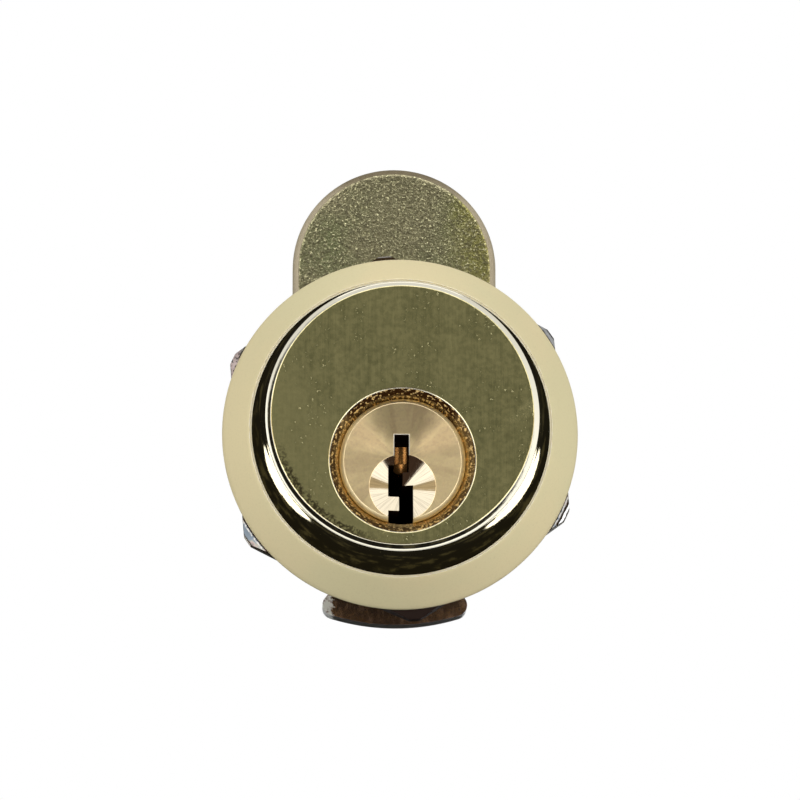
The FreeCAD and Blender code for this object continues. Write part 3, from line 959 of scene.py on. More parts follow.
@dataclass(frozen=True)
class PassivatedFinish(Finish):
    """Zinc plate whose clear passivation shimmers in several colours.

    Attributes:
        stops: Colours along the shimmer.
        front_stops: A darker copy of them on the chamfer, painted shade.
        shade: Colour of the painted shade beside the collar and along the chamfer's outer edge.
        painted_highlight: Colour of the painted highlights: the ring beside the collar, the top corner's
            outer edge and the upper left corner.
        bare: Second colour of the painted highlight on the upper left corner.
        pale: Colour of the painted highlight on the right corners.
        stain: Colour of the painted shade on the top corner, beside the collar.
        burnt: Colour of the painted shade on the lowest corner.
    """

    stops: tuple[tuple[float, Colour], ...] = (
        (0.0, (0.2, 0.21, 0.24)), (0.3, (0.4, 0.38, 0.28)), (0.5, (0.42, 0.27, 0.22)),
        (0.7, (0.3, 0.33, 0.28)), (1.0, (0.5, 0.5, 0.5)))
    front_stops: tuple[tuple[float, Colour], ...] = (
        (0.0, (0.1, 0.12, 0.14)), (0.3, (0.14, 0.165, 0.19)), (0.5, (0.26, 0.25, 0.21)),
        (0.62, (0.3, 0.22, 0.21)), (0.8, (0.14, 0.14, 0.12)), (1.0, (0.45, 0.45, 0.45)))
    shade: Colour = (0.018, 0.011, 0.006)
    painted_highlight: Colour = (0.42, 0.4, 0.37)
    bare: Colour = (0.62, 0.5, 0.47)
    pale: Colour = (0.78, 0.79, 0.79)
    stain: Colour = (0.055, 0.033, 0.016)
    burnt: Colour = (0.04, 0.026, 0.021)

    def chamfer(self, bench: ShaderBench, place: Signal, shimmer: Signal, grain: Signal) -> Signal:
        """Tones the chamfer, whose corners show round the collar, with painted shade and painted highlights.

        Args:
            bench: The material's bench.
            place: Where on the shimmer each point lies.
            shimmer: Large soft patches.
            grain: Small irregularities.

        Returns:
            The colour.
        """
        x, _, z = bench.millimetres()
        reach = bench.polar(x, z)[0]
        upward = z / reach
        rough_edge = grain - 0.5
        band = reach - upward * 0.19 - upward.ramp(0.85, 1.0) * 0.22 - BrassBody.collar_r + rough_edge * 0.25
        # Painted shade: the chamfer takes the darker copy of the shimmer.
        colour = bench.node("ShaderNodeValToRGB", {"stops": self.front_stops}, {0: place})
        # Painted highlight: a bright ring just outside the collar.
        ring = band.ramp(0.12, 0.2) * band.fall(0.24, 0.36) * grain.ramp(0.38, 0.5)
        colour = bench.blend(ring, colour, self.painted_highlight)
        # Painted shade: a dark line beside the collar.
        colour = bench.blend(band.fall(0.06, 0.2) * band.ramp(-0.4, -0.3), colour, self.shade)
        # Right corners: painted shade beside the collar, painted highlight further out.
        clear = (band + z.ramp(0.0, 4.0) * 0.32).ramp(0.5, 0.58)
        right = (x + rough_edge * 0.4).ramp(14.6, 15.0) * band.ramp(0.28, 0.36).most(clear)
        colour = bench.blend(right, colour, bench.blend(clear, self.shade, self.pale))
        # Top corner: painted shade beside the collar, painted highlight on its outer edge.
        high = (z + grain * 0.4).ramp(17.8, 18.4)
        top = bench.blend((reach + rough_edge * 0.1).ramp(19.64, 19.74), self.stain, self.painted_highlight)
        colour = bench.blend(high, colour, top)
        # Painted shade along the outer edge of the chamfer.
        colour = bench.blend((reach + rough_edge * 0.2).ramp(19.6, 19.75) * (1.0 - high), colour, self.shade)
        # Painted highlight on the upper left corner.
        left = (x * -1.0 + rough_edge * 0.8).ramp(16.9, 17.4) * z.ramp(3.0, 4.0) * grain.ramp(0.42, 0.52)
        return bench.blend(left, colour, bench.blend(shimmer.ramp(0.4, 0.5), self.painted_highlight, self.bare))

    def dress(self, bench: ShaderBench) -> None:
        """Adds the shimmer, the chamfer and painted shade on the lowest corner."""
        base = bench.place()
        _, y, z = bench.millimetres()
        shimmer = bench.noise(base, 330.0, 3.0, 0.55)
        grain = bench.noise(base, 2200.0, 3.0, 0.6)
        place = shimmer.ramp(0.3, 0.7) * 0.85 + grain * 0.15
        colour = bench.node("ShaderNodeValToRGB", {"stops": self.stops}, {0: place})
        behind = y.ramp(1.6, 1.9)
        colour = bench.blend(1.0 - behind, colour, self.chamfer(bench, place, shimmer, grain))
        # Painted shade on the lowest corner.
        low = (z + shimmer * 0.6).fall(-15.9, -15.3)
        rough = grain * 0.16 + 0.1 + (behind * 0.25).most(low * 0.5)
        bench.metal(bench.blend(low, colour, self.burnt), rough, bench.bump(grain, 0.006, 0.8))


@dataclass(frozen=True)
class SteelFinish(Finish):
    """Plain steel or pin metal with light marks.

    Attributes:
        tint: Base colour.
        dark: Colour in the marks.
        roughness: Least roughness.
        scale: How close the marks lie, per metre.
        metallic: How metallic it is.
    """

    tint: Colour
    dark: Colour
    roughness: float
    scale: float = 1500.0
    metallic: float = 1.0

    def dress(self, bench: ShaderBench) -> None:
        """Adds the marks."""
        grain = bench.noise(bench.place(), self.scale, 3.0, 0.6)
        colour = bench.blend(grain.ramp(0.4, 0.75), self.tint, self.dark)
        bench.metal(colour, grain * 0.2 + self.roughness, bench.bump(grain, 0.004, 0.7), self.metallic)


@dataclass(frozen=True)
class FloorFinish(Finish):
    """Plain white floor that shines a little of its own.

    Attributes:
        glow: Strength of its own light.
    """

    glow: float = 0.245

    def dress(self, bench: ShaderBench) -> None:
        """Adds faint large patches to the white."""
        colour = bench.blend(bench.noise(bench.place(), 3.0), (0.96, 0.96, 0.96), (1.0, 1.0, 1.0))
        bench.close({"Base Color": colour, "Roughness": 0.8, "Emission Color": (1.0, 1.0, 1.0),
                     "Emission Strength": self.glow})


def make_finishes() -> Materials:
    """Mixes the materials by name."""
    finishes = {
        "polished": HeadFinish("plated_head"),
        "thread": ThreadFinish("thread_brass"),
        "collar": SatinFinish("collar_brass"),
        "plug": PlugFinish("turned_plug"),
        "pin": SteelFinish("pin_brass", (0.92, 0.43, 0.12), (0.7, 0.28, 0.07), 0.16, metallic=0.8),
        "spring": SteelFinish("spring_steel", (0.5, 0.5, 0.5), (0.2, 0.2, 0.21), 0.28),
        "steel": SteelFinish("zinc_steel", (0.66, 0.67, 0.68), (0.42, 0.43, 0.45), 0.26, 900.0),
        "nut": PassivatedFinish("passivated_nut"),
        "hook": TumbledFinish("tumbled_plate"),
        "fan": PaintedShadePlateFinish("dark_plate"),
    }
    return {key: finish.material() for key, finish in finishes.items()}


# Sub-assemblies


@dataclass
class BrassBody:
    """The brass head, its skirt, the threaded barrel and the collar, in millimetres.

    The plates' stop pins stand in the barrel's rear.
    """

    plates: "TailPlates"
    face_y: float = -11.4
    face_r: float = 13.84
    bevel_r: float = 14.17
    bevel_y: float = -10.75
    shoulder_r: float = 14.45
    shoulder_y: float = -10.55
    skirt_r: float = 15.85
    skirt_y: float = -3.6
    skirt_sweep: float = 2.2
    sink_r: float = 7.755
    sink_y: float = -10.3
    head_bore_r: float = 6.67
    head_bore_y: float = -8.4
    bore_r: float = 6.35
    barrel_end: float = 23.0
    thread_r: float = 14.0
    thread_depth: float = 0.92
    thread_pitch: float = 1.5
    thread_crest: float = 0.25
    thread_root: float = 0.19
    flank_angle: float = 30.0
    end_chamfer: float = 0.7
    flat: float = 13.0
    face_edge: float = 0.12
    shoulder_edge: float = 0.09
    sink_edge: float = 0.06
    seat_edge: float = 0.05
    collar_r: float = 19.0
    collar_rim: float = 0.25
    collar_lip_r: float = 16.05
    collar_height: float = 3.9
    collar_crown: float = 0.02
    collar_bore_r: float = 14.2
    collar_lip_edge: float = 0.1
    collar_back_edge: float = 0.08

    def wall(self, slices: int) -> list[Step]:
        """Works out the head's hollow wall, which sweeps out towards the collar.

        Args:
            slices: Number of rings below the shoulder.

        Returns:
            (radius, depth) from the shoulder to the skirt.
        """
        run, rise = self.skirt_y - self.shoulder_y, self.skirt_r - self.shoulder_r
        shares = [index / slices for index in range(slices + 1)]
        return [(self.shoulder_r + rise * share**self.skirt_sweep, self.shoulder_y + run * share)
                for share in shares]

    def head(self) -> Workpiece:
        """Models the head with its countersunk plug hole and its skirt."""
        hole = Workpiece.ring("plug_hole", self.sink_r, (0, self.face_y, -PLUG_DROP))
        head = Workpiece.ring("brass_head", self.face_r, (0, self.face_y, 0)).take_in(hole)
        outside = [(self.face_r, self.face_y), (self.bevel_r, self.bevel_y), *self.wall(12)]
        inside = [(self.sink_r, self.face_y), (self.head_bore_r, self.sink_y),
                  (self.head_bore_r, self.head_bore_y), (self.bore_r, self.head_bore_y),
                  (self.bore_r, self.skirt_y)]
        with head.editing():
            head.select_all()
            bpy.ops.mesh.bridge_edge_loops()
            head.pick_ring(*outside[0])
            head.draw_out(outside)
            head.pick_ring(*inside[0], PLUG_DROP)
            head.draw_out(inside, PLUG_DROP)
            head.pick(Part.EDGES, lambda edge: all(
                abs(corner.co.y - self.skirt_y) < NEAR for corner in edge.verts))
            bpy.ops.mesh.bridge_edge_loops()
            head.round_ring(*outside[0], self.face_edge)
            head.round_ring(*outside[2], self.shoulder_edge)
            head.round_ring(*inside[0], self.sink_edge, PLUG_DROP)
            head.round_ring(*inside[1], self.seat_edge, PLUG_DROP)
        return head.face_outwards()

    def thread(self) -> Workpiece:
        """Models a thread that is longer than the barrel: one tooth, repeated and screwed round the axis."""
        flank = self.thread_depth * math.tan(math.radians(self.flank_angle))
        tooth = [(0.0, self.thread_crest), (-self.thread_depth, flank), (0.0, self.thread_root),
                 (self.thread_depth, flank)]
        height = self.thread_crest + 2 * flank + self.thread_root
        spare_turns = 2
        start_y = self.skirt_y - spare_turns * self.thread_pitch
        turns = int((self.barrel_end - self.skirt_y) / self.thread_pitch) + 2 * spare_turns
        thread = Workpiece.ring("threaded_barrel", 1.0, (0, 0, 0), 3)
        with thread.editing():
            thread.pick(Part.CORNERS, lambda corner: corner.index > 0)
            bpy.ops.mesh.delete(type="VERT")
            mesh = bmesh.from_edit_mesh(thread.obj.data)
            mesh.verts.ensure_lookup_table()
            start = mesh.verts[0].co.copy()
            thread.select_all()
            thread.move((self.thread_r - start.x, start_y - start.y, -start.z))
            for run, rise in tooth:
                bpy.ops.mesh.extrude_vertices_move(TRANSFORM_OT_translate={"value": (run, rise, 0)})
        with thread.editing():
            thread.select_all()
            thread.resize((1, self.thread_pitch / height, 1), (0, start_y, 0))
        thread.modify("ARRAY", count=turns, use_relative_offset=False, use_constant_offset=True,
                      constant_offset_displace=(0, self.thread_pitch, 0), use_merge_vertices=True,
                      merge_threshold=NEAR)
        sides, below_head = 96, 0.02
        thread.modify("SCREW", axis="Y", angle=FULL, screw_offset=self.thread_pitch, steps=sides,
                      render_steps=sides, use_merge_vertices=True, merge_threshold=NEAR)
        with thread.editing():
            thread.select_all()
            bpy.ops.mesh.remove_doubles(threshold=NEAR)
        thread.slice_off((0, self.skirt_y + below_head, 0), (0, -1, 0))
        thread.slice_off((0, self.barrel_end, 0), (0, 1, 0))
        return thread.face_outwards()

    def barrel(self) -> Workpiece:
        """Cuts the thread to the barrel's length, flats, bore, pin chambers and peg holes."""
        ends = self.barrel_end + self.end_chamfer
        blank = Workpiece.turned("blank", [
            (self.thread_r + SLACK, self.skirt_y - SLACK),
            (self.thread_r + SLACK, self.barrel_end - self.end_chamfer - SLACK),
            (self.thread_r - 2 * self.end_chamfer, ends)])
        for side in (-1, 1):
            blank.slice_off((side * self.flat, 0, 0), (side, 0, 0))
        bore = Workpiece.drum("bore", self.bore_r, self.skirt_y - SLACK, ends, 0, -PLUG_DROP)
        barrel = self.thread().combine("INTERSECT", blank).combine("DIFFERENCE", bore)
        for depth in CHAMBER_DEPTHS[1:]:
            chamber = Workpiece.drum("chamber", CHAMBER_R, 0, self.thread_r + SLACK, sides=32)
            barrel.combine("DIFFERENCE", chamber.stand_up((0, depth, 0)))
        for x, z in self.plates.peg_places():
            hole = Workpiece.drum("peg_hole", self.plates.peg_r, self.plates.peg_front, ends, x, z, 32)
            barrel.combine("DIFFERENCE", hole)
        return barrel

    def collar(self) -> Workpiece:
        """Models the conical collar with its slightly crowned slope."""
        run = self.collar_r - self.collar_lip_r
        rise = self.collar_height - self.collar_rim
        slope = math.hypot(run, rise)
        slices = 8
        crown = []
        for index in range(slices + 1):
            share = index / slices
            lift = self.collar_crown * 4 * share * (1 - share)
            crown.append((self.collar_lip_r + run * share + lift * rise / slope,
                          -self.collar_height + rise * share - lift * run / slope))
        steps = crown + [(self.collar_r, 0), (self.collar_bore_r, 0), (self.collar_bore_r, self.skirt_y),
                         (self.collar_lip_r, self.skirt_y), crown[0]]
        collar = Workpiece.turned("collar_cone", steps, sides=192, closed=True)
        with collar.editing():
            collar.round_ring(*crown[0], self.collar_lip_edge)
            collar.round_ring(*crown[-1], self.collar_lip_edge)
            collar.round_ring(self.collar_r, 0, self.collar_back_edge)
        return collar

    def build(self, finishes: Materials) -> None:
        """Models and finishes the pieces, with the materials by name."""
        self.head().hand_over(finishes["polished"], "cylinder", ["cylinder_shell"], "polished_brass_plate")
        self.barrel().hand_over(finishes["thread"], "cylinder", ["cylinder_shell"], "polished_brass_plate")
        self.collar().hand_over(
            finishes["collar"], "cylinder", ["collar_ring"], "collar_brass", mirrored=False)


@dataclass
class ClampNut:
    """The thin hex nut behind the collar, in millimetres."""

    across: float = 34.9
    corner_r: float = 19.8
    chamfer_r: float = 17.4
    chamfer: float = 1.386
    front: float = 0.3
    thickness: float = 4.2
    bore_r: float = 14.05
    bore_chamfer: float = 0.6
    turn: float = 4.8
    edge: float = 0.22

    def model(self) -> Workpiece:
        """Models the nut: a hexagon with turned corners and a chamfered bore."""
        back = self.front + self.thickness
        mouth_r = self.bore_r + self.bore_chamfer + SLACK
        blank = Workpiece.turned("nut_blank", [
            (self.chamfer_r, self.front), (self.corner_r, self.front + self.chamfer),
            (self.corner_r, back - self.chamfer), (self.chamfer_r, back)], sides=192)
        bore = Workpiece.turned("nut_bore", [
            (mouth_r, self.front - SLACK), (self.bore_r, self.front + self.bore_chamfer),
            (self.bore_r, back - self.bore_chamfer), (mouth_r, back + SLACK)])
        reach = self.across / 2 / math.cos(HEX_HALF)
        nut = Workpiece.drum("clamp_nut", reach, self.front - SLACK, back + SLACK, sides=6)
        nut.turn_left(self.turn).combine("INTERSECT", blank).combine("DIFFERENCE", bore)
        return nut.soften(self.edge, 18.0, 3)

    def build(self, finishes: Materials) -> None:
        """Models and finishes the nut."""
        self.model().hand_over(finishes["nut"], "cylinder", ["hex_nut"], "nut_steel", mirrored=False)


@dataclass
class TurningPlug:
    """The plug with its keyway and its square tail, in millimetres. The keyway is measured from its axis."""

    face_y: float = -11.05
    face_r: float = 6.17
    head_r: float = 6.62
    bevel: float = 0.45
    shoulder_y: float = -8.5
    plug_r: float = 6.3
    back_y: float = 23.2
    tail_side: float = 7.0
    tail_end: float = 29.0
    screw_hole_r: float = 2.5
    screw_hole_y: float = 19.1
    dimple_r: float = 3.53
    dimple_depth: float = 1.35
    dimple_drop: float = 2.82
    keyway_end: float = 15.7
    keyway: tuple[Step, ...] = (
        (-0.87, 2.77), (0.67, 2.77), (0.67, -1.15), (0.04, -1.15), (0.04, -2.48), (1.13, -2.48),
        (1.13, -6.62), (-1.5, -6.62), (-1.5, -5.28), (-0.36, -5.28), (-0.36, -3.72), (-1.5, -3.72),
        (-1.5, -0.42), (-0.87, -0.42))
    broken: float = 0.1
    cut_edge: float = 0.09
    turned_edge: float = 0.06
    back_edge: float = 0.2
    tail_edge: float = 0.25
    chamber_floor: float = 0.02

    def blank(self) -> Workpiece:
        """Turns the plug and joins its square tail."""
        rim_y = self.face_y + self.bevel
        plug = Workpiece.turned("turning_plug", [
            (self.face_r, self.face_y), (self.head_r, rim_y), (self.head_r, self.shoulder_y),
            (self.plug_r, self.shoulder_y), (self.plug_r, self.back_y)], PLUG_DROP)
        with plug.editing():
            plug.round_ring(self.face_r, self.face_y, self.turned_edge, PLUG_DROP)
            plug.round_ring(self.head_r, rim_y, self.turned_edge, PLUG_DROP)
            plug.round_ring(self.plug_r, self.back_y, self.back_edge, PLUG_DROP)
        half = self.tail_side / 2
        tail = Workpiece.block("tail", (-half, self.back_y - SLACK, -PLUG_DROP - half),
                               (half, self.tail_end, -PLUG_DROP + half))
        return plug.combine("UNION", tail.soften(self.tail_edge))

    def dimple(self) -> Workpiece:
        """Models the cone that sinks the keyway's mouth, a little too tall and with a blunt tip."""
        over, tip = 0.5, 0.02
        steps = [(self.dimple_r * (1 + over / self.dimple_depth), self.face_y - over),
                 (tip, self.face_y + self.dimple_depth * (1 - tip / self.dimple_r))]
        return Workpiece.turned("dimple", steps, PLUG_DROP + self.dimple_drop, 192)

    def in_dimple(self, face: bmesh.types.BMFace) -> bool:
        """Says whether a face belongs to the dimple's cone."""
        centre = face.calc_center_median()
        reach = math.hypot(centre.x, centre.z + PLUG_DROP + self.dimple_drop)
        slope = math.cos(math.atan2(self.dimple_depth, self.dimple_r))
        return reach < self.dimple_r and abs(face.normal.y + slope) < 0.005

    def mouth(self, corners: list[Step]) -> Workpiece:
        """Models what breaks the keyway's edge.

        Args:
            corners: (x, z) of the keyway's corners, clockwise.

        Returns:
            The keyway's outline, grown in front by the width of the broken edge.
        """
        over = 0.02
        grown = []
        for index, (x, z) in enumerate(corners):
            before, after = corners[index - 1], corners[(index + 1) % len(corners)]
            sides = [math.atan2(end[1] - start[1], end[0] - start[0])
                     for start, end in ((before, (x, z)), ((x, z), after))]
            grown.append((x - sum(math.sin(side) for side in sides) * (self.broken + over),
                          z + sum(math.cos(side) for side in sides) * (self.broken + over)))
        cutter = Workpiece.outline("keyway_mouth", grown, self.face_y - over, self.face_y + self.broken)
        with cutter.editing():
            for (x, z), (wide_x, wide_z) in zip(corners, grown):
                cutter.pick(Part.CORNERS, lambda corner, x=wide_x, z=wide_z: corner.co.y > self.face_y
                            and abs(corner.co.x - x) < NEAR and abs(corner.co.z - z) < NEAR)
                cutter.move((x - wide_x, 0, z - wide_z))
        return cutter

    def model(self) -> Workpiece:
        """Cuts the blank: dimple, keyway, pin chambers and screw hole."""
        plug = self.blank().combine("DIFFERENCE", self.dimple())
        corners = [(x, z - PLUG_DROP) for x, z in self.keyway]
        keyway = Workpiece.outline("keyway", corners, self.face_y - SLACK, self.keyway_end)
        plug.combine("DIFFERENCE", keyway, self.mouth(corners)).soften(self.cut_edge, 35.0)
        for depth in CHAMBER_DEPTHS:
            chamber = Workpiece.drum("chamber", CHAMBER_R, 0, self.plug_r + SLACK, sides=40)
            plug.combine("DIFFERENCE", chamber.stand_up((0, depth, self.chamber_floor - PLUG_DROP)))
        hole = Workpiece.drum("screw_hole", self.screw_hole_r, self.screw_hole_y, self.tail_end + SLACK,
                              0, -PLUG_DROP, 48)
        return plug.combine("DIFFERENCE", hole)

    def build(self, finishes: Materials) -> None:
        """Models and finishes the plug."""
        self.model().hand_over(finishes["plug"], "rotor", ["plug"], "bare_brass", 17.0, flat=self.in_dimple)


@dataclass
class PinStacks:
    """Key pins, driver pins, springs and the plugs that close their chambers, in millimetres."""

    lifts: tuple[float, ...] = (2.4, 1.5, 0.9, 2.1, 1.2)
    pin_r: float = 1.4
    flat_r: float = 0.9
    crown: float = 0.27
    tip_r: float = 0.45
    tip_length: float = 0.8
    tip: float = 0.14
    shear_line: float = 6.22
    driver_base: float = 6.43
    driver_length: float = 4.2
    wire_r: float = 0.15
    coil_r: float = 1.05
    turns: int = 7
    cap_base: float = 11.6
    cap_top: float = 12.9
    cap_gap: float = 0.02
    edge: float = 0.05

    def upright(self, name: str, steps: Sequence[Step], depth: float) -> Workpiece:
        """Turns a pin from (radius, height) steps and stands it in its chamber.

        Args:
            name: The pin's name.
            steps: Its profile, from the bottom up.
            depth: Depth of the chamber.

        Returns:
            The pin.
        """
        pin = Workpiece.turned(name, steps, sides=48)
        with pin.editing():
            for radius, height in steps:
                pin.round_ring(radius, height, self.edge)
        return pin.stand_up((0, depth, 0))

    def key_pin(self, index: int) -> Workpiece:
        """Models one key pin with its coned tip."""
        low = self.tip - PLUG_DROP
        high = self.shear_line - self.lifts[index] - PLUG_DROP
        steps = [(self.tip_r, low), (self.pin_r, low + self.tip_length), (self.pin_r, high - self.crown),
                 (self.flat_r, high)]
        return self.upright(f"lower_pin_{index + 1}", steps, CHAMBER_DEPTHS[index])

    def driver_pin(self, index: int) -> Workpiece:
        """Models one driver pin."""
        low = self.driver_base - PLUG_DROP
        high = low + self.driver_length
        steps = [(self.flat_r, low), (self.pin_r, low + self.crown), (self.pin_r, high - self.crown),
                 (self.flat_r, high)]
        return self.upright(f"upper_pin_{index + 1}", steps, CHAMBER_DEPTHS[index])

    def coil(self) -> Workpiece:
        """Models the first spring: a wire's section screwed up its chamber."""
        low = self.driver_base - PLUG_DROP + self.driver_length + self.wire_r
        high = self.cap_base - self.wire_r
        coil = Workpiece.ring("coil_1", self.wire_r, (self.coil_r, 0, low), 10, True)
        sides = 20
        coil.modify("SCREW", axis="Z", angle=FULL, screw_offset=(high - low) / self.turns,
                    iterations=self.turns, steps=sides, render_steps=sides, use_merge_vertices=False)
        with coil.editing():
            coil.pick(Part.EDGES, lambda edge: len(edge.link_faces) == 1)
            bpy.ops.mesh.edge_face_add()
            coil.select_all()
            bpy.ops.mesh.remove_doubles(threshold=0.001)
        return coil.face_outwards().shift((0, CHAMBER_DEPTHS[0], 0))

    def closing_plugs(self) -> Workpiece:
        """Models the five plugs that close the chambers."""
        steps = [(CHAMBER_R - self.cap_gap, self.cap_base), (CHAMBER_R - self.cap_gap, self.cap_top)]
        first = self.upright("chamber_plugs", steps, CHAMBER_DEPTHS[0])
        copies = [first.copy("chamber_plug", (0, depth - CHAMBER_DEPTHS[0], 0))
                  for depth in CHAMBER_DEPTHS[1:]]
        return first.take_in(*copies)

    def build(self, finishes: Materials) -> bpy.types.Object:
        """Models and finishes the pin stacks.

        Args:
            finishes: The materials by name.

        Returns:
            The first key pin, which is seen in the keyway.
        """
        coil = self.coil()
        coils = [coil] + [coil.copy(f"coil_{index + 2}", (0, depth - CHAMBER_DEPTHS[0], 0))
                          for index, depth in enumerate(CHAMBER_DEPTHS[1:])]
        key_pins = []
        for index, lift in enumerate(self.lifts):
            number = index + 1
            key_pins.append(self.key_pin(index).hand_over(
                finishes["pin"], f"tumbler_{number}", [f"key_pin_{number}"], "pin_brass"))
            self.driver_pin(index).hand_over(
                finishes["pin"], f"driver_{number}", [f"driver_pin_{number}"], "pin_brass")
            spring = coils[index].hand_over(
                finishes["spring"], "cylinder", [f"pin_spring_{number}"], "spring_steel", 60.0)
            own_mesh(spring)
        self.closing_plugs().hand_over(finishes["thread"], "cylinder", ["chamber_caps"], "bare_brass")
        return key_pins[0]


@dataclass
class TailPlates:
    """Hook plate, stop plate, washers, screw and stop pins, in millimetres from the plug's axis."""

    stop_y: float = 23.2
    hook_y: float = 26.0
    hook_back: float = 29.2
    square: float = 7.1
    head_r: float = 11.35
    head_rise: float = 28.6
    side_low: float = 14.0
    hub_r: float = 9.5
    rim: float = 1.0
    plate_edge: float = 0.12
    throat_r: float = 4.2
    throat_rise: float = 15.0
    stop_hub_r: float = 6.45
    stop_reach: float = 12.2
    stop_half_width: float = 8.8
    stop_end_r: float = 24.0
    stop_corner_r: float = 1.2
    stop_edge: float = 0.18
    washer_r: float = 6.5
    washer_back: float = 30.2
    split_r: float = 4.4
    split_back: float = 31.4
    slit: float = 0.8
    washer_bore_r: float = 2.65
    washer_edge: float = 0.12
    screw_r: float = 2.45
    screw_tip: float = 19.9
    screw_across: float = 8.0
    screw_back: float = 34.9
    screw_chamfer: Step = (0.8, 0.45)
    screw_lead: float = 0.5
    screw_edge: float = 0.1
    hex_over: float = 0.02
    peg_r: float = 1.0
    peg_front: float = 18.0
    peg_back: float = 25.7
    peg_chamfer: float = 0.3
    peg_circle_r: float = 7.85
    peg_gap: float = 0.1
    turn: float = 90.0

    def square_hole(self, front: float, back: float) -> Workpiece:
        """Models the square hole that the tail goes through."""
        half = self.square / 2
        return Workpiece.block("square_hole", (-half, front - SLACK, -PLUG_DROP - half),
                               (half, back + SLACK, -PLUG_DROP + half))

    def hook_plate(self) -> Workpiece:
        """Models the hook plate: a circle stretched down to the hub, extruded, rounded and cut."""
        top = self.head_rise - PLUG_DROP
        plate = Workpiece.ring("bolt_plate", self.head_r, (0, self.hook_y, top), 128)
        shrink = self.hub_r / self.head_r
        with plate.editing():
            plate.pick(Part.CORNERS, lambda corner: corner.co.z < top - NEAR)
            plate.resize((shrink, 1, shrink), (0, self.hook_y, top))
            plate.move((0, 0, -self.head_rise))
            plate.pick(Part.EDGES, lambda edge: edge.calc_length() > self.head_r)
            bpy.ops.mesh.subdivide(number_cuts=1)
            for side in (-1, 1):
                plate.pick(Part.CORNERS, lambda corner, side=side: (
                    corner.co.x * side > self.hub_r * 0.9
                    and abs(corner.co.z - top + self.head_rise / 2) < 1))
                corner = next(one for one in bmesh.from_edit_mesh(plate.obj.data).verts if one.select)
                plate.move((side * self.head_r - corner.co.x, 0, self.side_low - PLUG_DROP - corner.co.z))
            plate.select_all()
            bpy.ops.mesh.edge_face_add()
            bpy.ops.mesh.extrude_region_move(
                TRANSFORM_OT_translate={"value": (0, self.hook_back - self.hook_y, 0)})
            plate.pick(Part.EDGES, lambda edge: abs(edge.verts[0].co.y - edge.verts[1].co.y) < NEAR)
            plate.bevel(self.rim, 5)
        plate.face_outwards()
        seat = Workpiece.drum("seat", self.throat_r, self.hook_y - SLACK, self.hook_back + SLACK,
                              0, self.throat_rise - PLUG_DROP, 64)
        plate.combine("DIFFERENCE", seat, self.throat(), self.square_hole(self.hook_y, self.hook_back))
        return plate.soften(self.plate_edge)

    def throat(self) -> Workpiece:
        """Models what cuts the curved throat, by spinning a rectangle about the plug's axis."""
        low, high = self.throat_rise - self.throat_r, self.throat_rise + self.throat_r
        throat = Workpiece.block("throat", (-SLACK, self.hook_y - SLACK, low - PLUG_DROP),
                                 (0, self.hook_back + SLACK, high - PLUG_DROP))
        with throat.editing():
            throat.pick(Part.CORNERS, lambda corner: corner.co.x < -NEAR)
            bpy.ops.mesh.delete(type="VERT")
            throat.select_all()
            bpy.ops.mesh.spin(steps=40, angle=QUARTER, center=(0, 0, -PLUG_DROP), axis=(0, 1, 0))
            for face_x in (0.0, None):
                throat.pick(Part.EDGES, lambda edge: len(edge.link_faces) == 1 and (
                    all(abs(corner.co.x) < NEAR for corner in edge.verts) == (face_x is not None)))
                bpy.ops.mesh.edge_face_add()
        return throat.face_outwards()

    def fan_corners(self) -> list[Step]:
        """Works out the fan's outline.

        Returns:
            (x, z) from the plug's axis down the right side and back up the left.
        """
        side = math.atan2(self.stop_half_width, self.stop_reach - self.stop_end_r
                          + math.sqrt(self.stop_end_r**2 - self.stop_half_width**2))
        inner = self.stop_end_r - self.stop_corner_r
        above = self.stop_end_r - self.stop_reach
        half = above * math.cos(side)
        rest = ((self.stop_corner_r * math.cos(side))**2
                + (above + self.stop_corner_r * math.sin(side))**2 - inner**2)
        along = math.sqrt(half**2 - rest) - half
        x = along * math.sin(side) - self.stop_corner_r * math.cos(side)
        z = -along * math.cos(side) - self.stop_corner_r * math.sin(side)
        end = math.atan2(x, above - z)
        right = []
        corner_steps, arc_steps = 8, 16
        for index in range(corner_steps + 1):
            angle = side + (end - QUARTER - side) * index / corner_steps
            right.append((x + self.stop_corner_r * math.cos(angle),
                          z + self.stop_corner_r * math.sin(angle)))
        for index in range(1, arc_steps + 1):
            angle = end * (1 - index / arc_steps) - QUARTER
            right.append((self.stop_end_r * math.cos(angle), above + self.stop_end_r * math.sin(angle)))
        left = [(-x, z) for x, z in reversed(right[:-1])]
        return [(x, z - PLUG_DROP) for x, z in [(0.0, 0.0)] + right + left]

    def fan_plate(self) -> Workpiece:
        """Models the stop plate: a fan's outline with rounded corners, joined to its hub."""
        fan = Workpiece.outline("fan_plate", self.fan_corners(), self.stop_y, self.hook_y)
        hub = Workpiece.drum("hub", self.stop_hub_r, self.stop_y, self.hook_y, 0, -PLUG_DROP, 96)
        fan.combine("UNION", hub).combine("DIFFERENCE", self.square_hole(self.stop_y, self.hook_y))
        return fan.soften(self.stop_edge, segments=3)

    def washer(self, name: str, radius: float, front: float, back: float) -> Workpiece:
        """Models a flat washer.

        Args:
            name: The washer's name.
            radius: Outer radius.
            front: Depth of its front face.
            back: Depth of its back face.

        Returns:
            The washer.
        """
        steps = [(radius, front), (radius, back), (self.washer_bore_r, back), (self.washer_bore_r, front),
                 (radius, front)]
        washer = Workpiece.turned(name, steps, PLUG_DROP, 96, closed=True)
        with washer.editing():
            for ring in steps[:4]:
                washer.round_ring(*ring, self.washer_edge, PLUG_DROP)
        return washer

